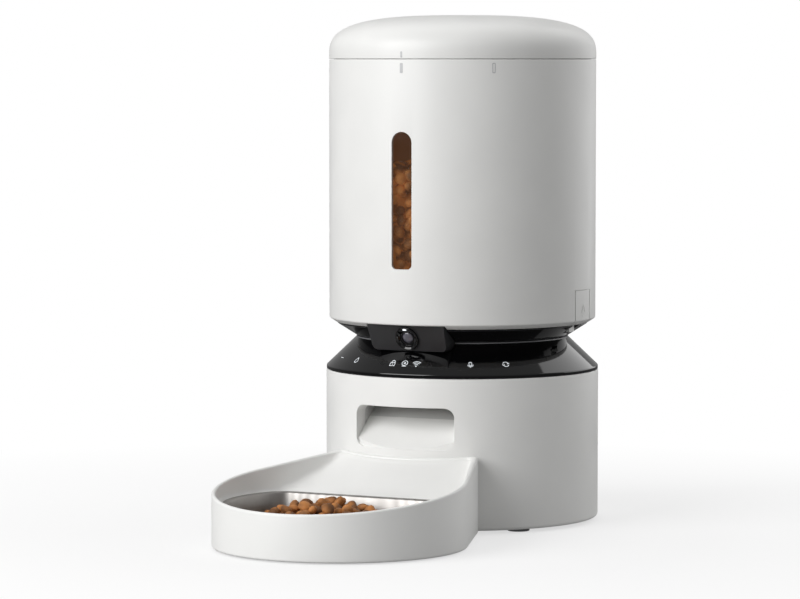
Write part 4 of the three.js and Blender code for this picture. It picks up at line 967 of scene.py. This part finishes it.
class FEEDER_OT_funnel(bpy.types.Operator):
    """Builds the smooth funnel at the bottom of the tank"""

    bl_idname = "feeder.funnel"
    bl_label = "Funnel"

    def execute(self, context):
        s = context.scene.feeder_sizes
        low, high = node_box("hopper_funnel")
        outer = s.tank_radius - s.wall - 0.2 * MM
        throat = 62 * MM
        funnel = turn(bend([
            (throat, low.z + 0.1 * MM, 0.4 * MM), (throat + 2.2 * MM, low.z + 0.1 * MM, 0.4 * MM),
            (throat + 2.2 * MM, low.z + 5 * MM, 3 * MM), (outer, high.z - 3 * MM, 2 * MM), (outer, high.z, 0.4 * MM),
            (outer - 2 * MM, high.z, 0.4 * MM), (outer - 2 * MM, high.z - 2.6 * MM, 2 * MM),
            (throat, low.z + 5 * MM, 3 * MM),
        ]), steps=160)
        piece("tank_funnel", funnel, FINISHES["grey_plastic"], "hopper", ["hopper_funnel"])
        return {"FINISHED"}


# ---- Tray and bowl ----
def back_arc_height(x, radius):
    """How far forward of the tower's axis a circle of this radius stands at x."""
    return -math.sqrt(max(radius * radius - x * x, 0))


def tray_outline(s, inset):
    """The tray seen from above, always with the same number of points; inset shrinks it."""
    centre = Vector((0, s.tray_radius - s.tray_reach))
    radius = s.tray_radius - inset
    hug = s.body_radius + TRAY_GAP + inset
    rear = Vector((s.tray_rear_half - inset, 0))
    rear.y = back_arc_height(rear.x, hug)
    away = rear - centre
    meet = math.atan2(away.y, away.x) - math.acos(radius / away.length)
    soft = 6 * MM
    steps = 96
    points = []
    for i in range(steps + 1):
        a = math.pi - meet + (math.pi + 2 * meet) * i / steps
        points.append((centre.x + radius * math.cos(a), centre.y + radius * math.sin(a)))
    start = Vector(points[-1])
    end = rear + (start - rear).normalized() * soft
    flank = [tuple(start.lerp(end, i / 24)) for i in range(1, 25)]
    reach = rear.x - soft * 0.9
    first = Vector((reach, back_arc_height(reach, hug)))
    corner = [tuple(end.lerp(rear, i / 10).lerp(rear.lerp(first, i / 10), i / 10)) for i in range(1, 10)]
    across = [reach * (1 - 2 * i / 48) for i in range(49)]
    back = [(x, back_arc_height(x, hug)) for x in across]
    right = flank + corner
    return points + right + back + [(-x, y) for x, y in reversed(right)]


class FEEDER_OT_tray(bpy.types.Operator):
    """Builds the bowl tray: rounded walls that rise to the back, a feed ramp, a well for the bowl and two hooks"""

    bl_idname = "feeder.tray"
    bl_label = "Bowl tray"

    def execute(self, context):
        s = context.scene.feeder_sizes
        wall, rounding, round_rim = TRAY_WALL, TRAY_ROUNDING, TRAY_RIM_ROUNDING
        bottom, ledge = TRAY_LOW.z, TRAY_LEDGE
        back = -(s.body_radius + TRAY_GAP)
        foot = BOWL_HIGH.y - AXIS_Y + 2 * MM

        def rim(y):
            """Height of the rim, which rises to the back."""
            return TRAY_RIM_FRONT + (y + s.tray_reach) * TRAY_RIM_SLOPE

        def bed(x, y):
            """Height of the bed: a level ledge round the bowl, then a hollow ramp up to the back edge."""
            edge = back_arc_height(min(abs(x), s.tray_rear_half), -back)
            share = min(max((y - foot) / (edge - foot), 0), 1)
            rise = 0.72 * share + 0.28 * share * share
            return ledge + 1.2 * MM * min(share * 12, 1) + (rim(edge) - ledge - 1.7 * MM) * rise

        def ring(inset, height):
            """The outline at an inset; height is a number or a function of the place."""
            made = tray_outline(s, inset)
            if callable(height):
                return [(x, y, height(x, y)) for x, y in made]
            return [(x, y, height) for x, y in made]

        steps = 6
        rings = []
        for i in range(steps + 1):
            a = QUARTER * i / steps
            rings.append(ring(rounding * (1 - math.sin(a)), bottom + rounding * (1 - math.cos(a))))
        for i in range(steps + 1):
            a = QUARTER * i / steps
            rings.append(ring(round_rim * (1 - math.cos(a)),
                              lambda x, y, a=a: rim(y) - round_rim * (1 - math.sin(a))))
        for i in range(1, steps + 1):
            a = QUARTER * i / steps
            rings.append(ring(wall - round_rim + round_rim * math.sin(a),
                              lambda x, y, a=a: rim(y) - round_rim * (1 - math.cos(a))))
        for inset, lift in ((0.15, 3.2), (0.5, 2.0), (1.1, 1.1), (2.0, 0.4), (3.2, 0.08), (4.5, 0)):
            rings.append(ring(wall + inset * MM,
                              lambda x, y, lift=lift: min(bed(x, y) + lift * MM, rim(y) - round_rim)))
        for inset in (10, 18, 28, 40):
            rings.append(ring(wall + inset * MM, bed))
        tray = loft(rings)
        well = slab(bowl_outline(s, 2.4 * MM, 96), 5.4 * MM, 80 * MM)
        tray = cut(tray, [well])
        piece("bowl_tray_shell", tray, FINISHES["white_plastic"], "bowl_tray",
              ["bowl_tray"], soften=0.5 * MM, crease=42)
        hooks = []
        for x in (-HOOK_X, HOOK_X):
            low, high = back - 3 * MM, back + 12.6 * MM
            hooks.append(block((x - 7 * MM, low, 18 * MM), (x + 7 * MM, high, 26 * MM)))
        piece("tray_hooks", joined(hooks), FINISHES["white_plastic"], "bowl_tray", soften=0.6 * MM)
        return {"FINISHED"}


def bowl_outline(s, inset, steps=72):
    """The bowl seen from above: a round front and a straight back with rounded corners."""
    centre = s.tray_radius - s.tray_reach
    radius = (BOWL_HIGH.x - BOWL_LOW.x) / 2 - inset
    back = BOWL_HIGH.y - AXIS_Y - inset
    corner = max(18 * MM - inset, 2 * MM)
    rise = back - corner - centre
    corner_x = math.sqrt((radius - corner) ** 2 - rise ** 2)
    meet = math.atan2(rise, corner_x)
    front = [math.pi - meet + (math.pi + 2 * meet) * i / steps for i in range(steps + 1)]
    points = [(radius * math.cos(a), centre + radius * math.sin(a)) for a in front]
    bends = [meet + (QUARTER - meet) * i / 10 for i in range(1, 11)]
    right = [(corner_x + corner * math.cos(a), back - corner + corner * math.sin(a)) for a in bends]
    across = [(corner_x * (1 - 2 * i / 16), back) for i in range(1, 16)]
    return points + right + across + [(-x, y) for x, y in reversed(right)]


class FEEDER_OT_bowl(bpy.types.Operator):
    """Builds the pressed steel bowl with its rolled rim and rounded floor"""

    bl_idname = "feeder.bowl"
    bl_label = "Steel bowl"

    def execute(self, context):
        s = context.scene.feeder_sizes
        top, bottom, steel, corner = BOWL_HIGH.z, BOWL_LOW.z, STEEL, 8 * MM
        profile = [(0.3, -1.0), (0, -0.6), (0.05, -0.2), (0.4, 0.0), (2.6, 0.0), (3.4, -0.25), (3.9, -0.8),
                   (4.3, -1.6)]
        rings = [(x * MM, top + z * MM) for x, z in profile]
        foot = 5.4 * MM
        for i in range(9):
            a = QUARTER * i / 8
            rings.append((foot + corner * (1 - math.cos(a)), bottom + steel + corner * (1 - math.sin(a))))
        rings += [(foot + corner + 6 * MM, bottom + steel + 0.1 * MM),
                  (foot + corner + 9 * MM, bottom + steel + 0.6 * MM)]
        inside = [[(x, y, z) for x, y in bowl_outline(s, inset)] for inset, z in rings]
        under = [(0.3 * MM + steel, top - 1.6 * MM), (3.0 * MM, top - steel - 0.2 * MM), (3.2 * MM, top - 2.4 * MM)]
        for i in range(9):
            a = QUARTER * i / 8
            under.append((foot - steel + corner * (1 - math.cos(a)), bottom + corner * (1 - math.sin(a))))
        outside = [[(x, y, z) for x, y in bowl_outline(s, inset)] for inset, z in under]
        bowl = loft(outside[::-1] + inside)
        piece("spun_steel_bowl", bowl, FINISHES["steel"], "bowl", ["steel_bowl"], crease=50)
        return {"FINISHED"}


# ---- Food ----
def nugget(rng, size):
    """One piece of dry food: a squashed, slightly dented ball."""
    bm = bmesh.new()
    bmesh.ops.create_icosphere(bm, subdivisions=2, radius=size / 2)
    stretch = Vector((rng.uniform(0.92, 1.18), rng.uniform(0.82, 1.05), rng.uniform(0.62, 0.82)))
    phase = [rng.uniform(0, 6.28) for _ in range(3)]  # the third is drawn and not used
    for vert in bm.verts:
        way = vert.co.normalized()
        waves = 0.07 * math.sin(3 * way.x + phase[0]) + 0.06 * math.sin(4 * way.y + phase[1])
        lump = 1 + waves + rng.uniform(-0.03, 0.03)
        vert.co = Vector((vert.co.x * stretch.x, vert.co.y * stretch.y, vert.co.z * stretch.z)) * lump
    return bm


def food_pile(name, spots, size, body, seed, finish):
    """Dry food at each (place, tilt) spot, turned at random and joined in one mesh."""
    rng = random.Random(seed)
    shapes = []
    for _ in range(8):
        bm = nugget(rng, size)
        mesh = bpy.data.meshes.new("nugget")
        bm.to_mesh(mesh)
        bm.free()
        shapes.append(mesh)
    whole = bmesh.new()
    for place, tilt in spots:
        matrix = (Matrix.Translation(place) @ Matrix.Rotation(rng.uniform(0, 6.28), 4, "Z")
                  @ Matrix.Rotation(rng.uniform(-tilt, tilt), 4, "X")
                  @ Matrix.Rotation(rng.uniform(-tilt, tilt), 4, "Y")
                  @ Matrix.Scale(rng.uniform(0.86, 1.1), 4))
        first = len(whole.verts)
        whole.from_mesh(rng.choice(shapes))
        whole.verts.ensure_lookup_table()
        bmesh.ops.transform(whole, matrix=matrix, verts=whole.verts[first:])
    for mesh in shapes:
        bpy.data.meshes.remove(mesh)
    piece(name, whole, FINISHES[finish], body, crease=180)


def settled(rng, count, spot, size, tries=40):
    """Up to count places from spot(rng), no two nearer than most of a piece."""
    chosen = []
    for _ in range(count):
        for _ in range(tries):
            place = Vector(spot(rng))
            if all((place - other).length > 0.8 * size for other in chosen):
                chosen.append(place)
                break
    return chosen


class FEEDER_OT_food(bpy.types.Operator):
    """Builds the dry food: a heap in the bowl, and the fill behind the tank's window"""

    bl_idname = "feeder.food"
    bl_label = "Dry food"

    def execute(self, context):
        s = context.scene.feeder_sizes
        size = s.kibble
        floor = BOWL_LOW.z + STEEL
        centre = Vector((-14 * MM, s.tray_radius - s.tray_reach + 3 * MM))

        def heap_height(r):
            """Top of the heap in the bowl at a distance from its middle."""
            return HEAP_HEIGHT * max(0, 1 - (r / HEAP_RADIUS) ** 2)

        def in_heap(rng):
            """A place in the bowl's heap, near its surface."""
            r, a = 58 * MM * math.sqrt(rng.random()), rng.uniform(0, 2 * math.pi)
            top = max(heap_height(r), size * 0.7)
            low = max(size * 0.35, top - 1.6 * size)
            height = floor + rng.uniform(low, top - size * 0.2)
            return (centre.x + r * math.cos(a), centre.y + r * math.sin(a), height)

        rng = random.Random(7)
        spots = [(place, 0.8) for place in settled(rng, HEAP_COUNT, in_heap, size)]
        food_pile("bowl_food", spots, size, "bowl", 11, "kibble")
        inner = s.tank_radius - s.wall - 2.2 * MM
        low, top = s.tank_bottom + FILL_LOW, s.tank_bottom + FILL_TOP

        def behind_window(rng):
            """A place just inside the wall, behind the window."""
            return (rng.uniform(-14 * MM, 14 * MM), -inner + rng.uniform(0.55, 1.5) * size, rng.uniform(low, top))

        def top_layer(rng):
            """A place on the level top of the fill."""
            r, a = (inner - 0.6 * size) * math.sqrt(rng.random()), rng.uniform(0, 2 * math.pi)
            return (r * math.cos(a), r * math.sin(a), top + rng.uniform(-0.5, 0.3) * size)

        spots = [(place, 1.5) for place in settled(rng, WINDOW_COUNT, behind_window, size)]
        spots += [(place, 0.8) for place in settled(rng, TOP_COUNT, top_layer, size)]
        # The food in the tank glows a little: painted light for the light that its walls pass.
        food_pile("tank_food", spots, size, "hopper", 12, "kibble_in_tank")
        side = inner - 1.8 * size
        fill = turn(bend([
            (0, low - 4 * MM), (64 * MM, low - 26 * MM), (side, low), (side, top - 0.8 * size, 2 * MM),
            (0, top - 0.6 * size),
        ]), steps=64)
        # The core glows like the food round it: painted light.
        piece("tank_food_core", fill, FINISHES["kibble_in_tank"], "hopper")
        return {"FINISHED"}


# ---- The CAD pieces that keep their shape ----
class FEEDER_OT_inner(bpy.types.Operator):
    """Gives every CAD piece that keeps its shape the real finish of its kind"""

    bl_idname = "feeder.inner"
    bl_label = "Inner pieces"

    def execute(self, context):
        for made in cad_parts.values():
            for slot in made.material_slots:
                slot.material = FINISHES[slot.material.name.split(".")[0]]
        return {"FINISHED"}


class FEEDER_OT_finishes(bpy.types.Operator):
    """Makes every finish from the colours in the panel"""

    bl_idname = "feeder.finishes"
    bl_label = "Finishes"

    def execute(self, context):
        make_finishes(context.scene.feeder_colours)
        return {"FINISHED"}


# ---- Stage ----
def softbox(name, azimuth, elevation, distance, size, power):
    """A square soft light aimed at the middle of the feeder; azimuth runs from the front towards +X."""
    data = bpy.data.lights.new(name, "AREA")
    data.shape, data.size, data.energy = "SQUARE", size, power
    made = bpy.data.objects.new(name, data)
    a, e = math.radians(azimuth), math.radians(elevation)
    way = Vector((math.sin(a) * math.cos(e), -math.cos(a) * math.cos(e), math.sin(e)))
    made.location = Vector((0, AXIS_Y - 0.05, 0.18)) + way * distance
    made.rotation_euler = (-way).to_track_quat("-Z", "Y").to_euler()
    bpy.context.scene.collection.objects.link(made)


class FEEDER_OT_stage(bpy.types.Operator):
    """Builds the pale floor, the soft studio lights, the white surroundings and the camera"""

    bl_idname = "feeder.stage"
    bl_label = "Stage"

    def execute(self, context):
        scene = context.scene
        material, tree, shader, place = blank_material("pale_floor")
        cloud = noise(tree, place, 0.4)
        reach = add(tree, "ShaderNodeVectorMath", {0: place}, operation="LENGTH").outputs["Value"]
        feed(tree, shader, Base_Color=tinted(tree, cloud, linear("#f4f4f4"), linear("#f7f7f7")), Roughness=0.6,
             Specular_IOR_Level=0.0)
        # A lit table: it carries soft shadows near the feeder and is plain white further away.
        seen = add(tree, "ShaderNodeLightPath").outputs["Is Camera Ray"]
        glow = spread(tree, seen, 0.12, 1.0, 0.0, 1.0)
        lit = add(tree, "ShaderNodeEmission", {"Color": (1, 1, 1, 1), "Strength": glow})
        fade = add(tree, "ShaderNodeMixShader", {
            "Fac": spread(tree, reach, 0.62, 1.0, 0.22, 0.62), 1: shader.outputs[0], 2: lit.outputs[0]})
        output = next(n for n in tree.nodes if n.type == "OUTPUT_MATERIAL")
        tree.links.new(fade.outputs[0], output.inputs["Surface"])
        bm = bmesh.new()
        bmesh.ops.create_grid(bm, x_segments=1, y_segments=1, size=14)
        mesh = bpy.data.meshes.new("floor")
        bm.to_mesh(mesh)
        bm.free()
        mesh.materials.append(material)
        floor = bpy.data.objects.new("floor", mesh)
        scene.collection.objects.link(floor)

        softbox("key_softbox", -26, 24, 1.9, 1.5, 33)
        softbox("rim_softbox", 150, 20, 1.7, 2.0, 16)
        softbox("top_softbox", -140, 60, 2.0, 1.4, 5)
        world = bpy.data.worlds.new("white_room")
        world.use_nodes = True
        nodes = world.node_tree
        nodes.nodes.clear()
        seen = add(nodes, "ShaderNodeBackground", {"Color": (1, 1, 1, 1), "Strength": 1.0})
        fill = add(nodes, "ShaderNodeBackground", {"Color": (1, 1, 1, 1), "Strength": 0.33})
        path = add(nodes, "ShaderNodeLightPath")
        mix = add(nodes, "ShaderNodeMixShader", {
            "Fac": path.outputs["Is Camera Ray"], 1: fill.outputs[0], 2: seen.outputs[0]})
        add(nodes, "ShaderNodeOutputWorld", {"Surface": mix.outputs[0]})
        scene.world = world
        scene.view_settings.view_transform = "Standard"

        data = bpy.data.cameras.new("camera")
        data.lens, data.sensor_width = 163.5, 36
        data.clip_start, data.clip_end = 0.1, 60
        camera = bpy.data.objects.new("camera", data)
        across, back = 0.4446, -0.8957
        camera.location = Vector((0, AXIS_Y, 0)) + 2.67 * Vector((across, back, 0)) + Vector((0, 0, 0.338))
        heading = Matrix.Rotation(math.radians(0.985), 3, "Z") @ Vector((-across, -back, 0))
        aim = heading + Vector((0, 0, math.tan(math.radians(-3.79))))
        camera.rotation_euler = aim.to_track_quat("-Z", "Y").to_euler()
        scene.collection.objects.link(camera)
        scene.camera = camera
        return {"FINISHED"}


STEPS = (
    FEEDER_OT_finishes, FEEDER_OT_inner, FEEDER_OT_housing, FEEDER_OT_feet, FEEDER_OT_neck, FEEDER_OT_camera,
    FEEDER_OT_icons, FEEDER_OT_tank, FEEDER_OT_tabs, FEEDER_OT_lid, FEEDER_OT_funnel, FEEDER_OT_tray,
    FEEDER_OT_bowl, FEEDER_OT_food, FEEDER_OT_stage,
)


class FEEDER_PT_panel(bpy.types.Panel):
    """Lists the feeder's sizes, colours and building steps"""

    bl_idname = "FEEDER_PT_panel"
    bl_label = "Automatic Pet Feeder"
    bl_space_type = "VIEW_3D"
    bl_region_type = "UI"
    bl_category = "Feeder"

    def draw(self, context):
        for group in (context.scene.feeder_sizes, context.scene.feeder_colours):
            column = self.layout.column()
            for name in group.__annotations__:
                column.prop(group, name)
        for step in STEPS:
            self.layout.operator(step.bl_idname)


CLASSES = (FeederSizes, FeederColours, *STEPS, FEEDER_PT_panel)


def register():
    """Registers the classes and hangs the settings on the scene."""
    for made in CLASSES:
        bpy.utils.register_class(made)
    bpy.types.Scene.feeder_sizes = bpy.props.PointerProperty(type=FeederSizes)
    bpy.types.Scene.feeder_colours = bpy.props.PointerProperty(type=FeederColours)


def unregister():
    """Takes the settings and the classes away again."""
    del bpy.types.Scene.feeder_sizes
    del bpy.types.Scene.feeder_colours
    for made in reversed(CLASSES):
        bpy.utils.unregister_class(made)


def main():
    """Builds the whole feeder."""
    register()
    for step in STEPS:
        group, name = step.bl_idname.split(".")
        getattr(getattr(bpy.ops, group), name)()


if __name__ == "__main__":
    main()
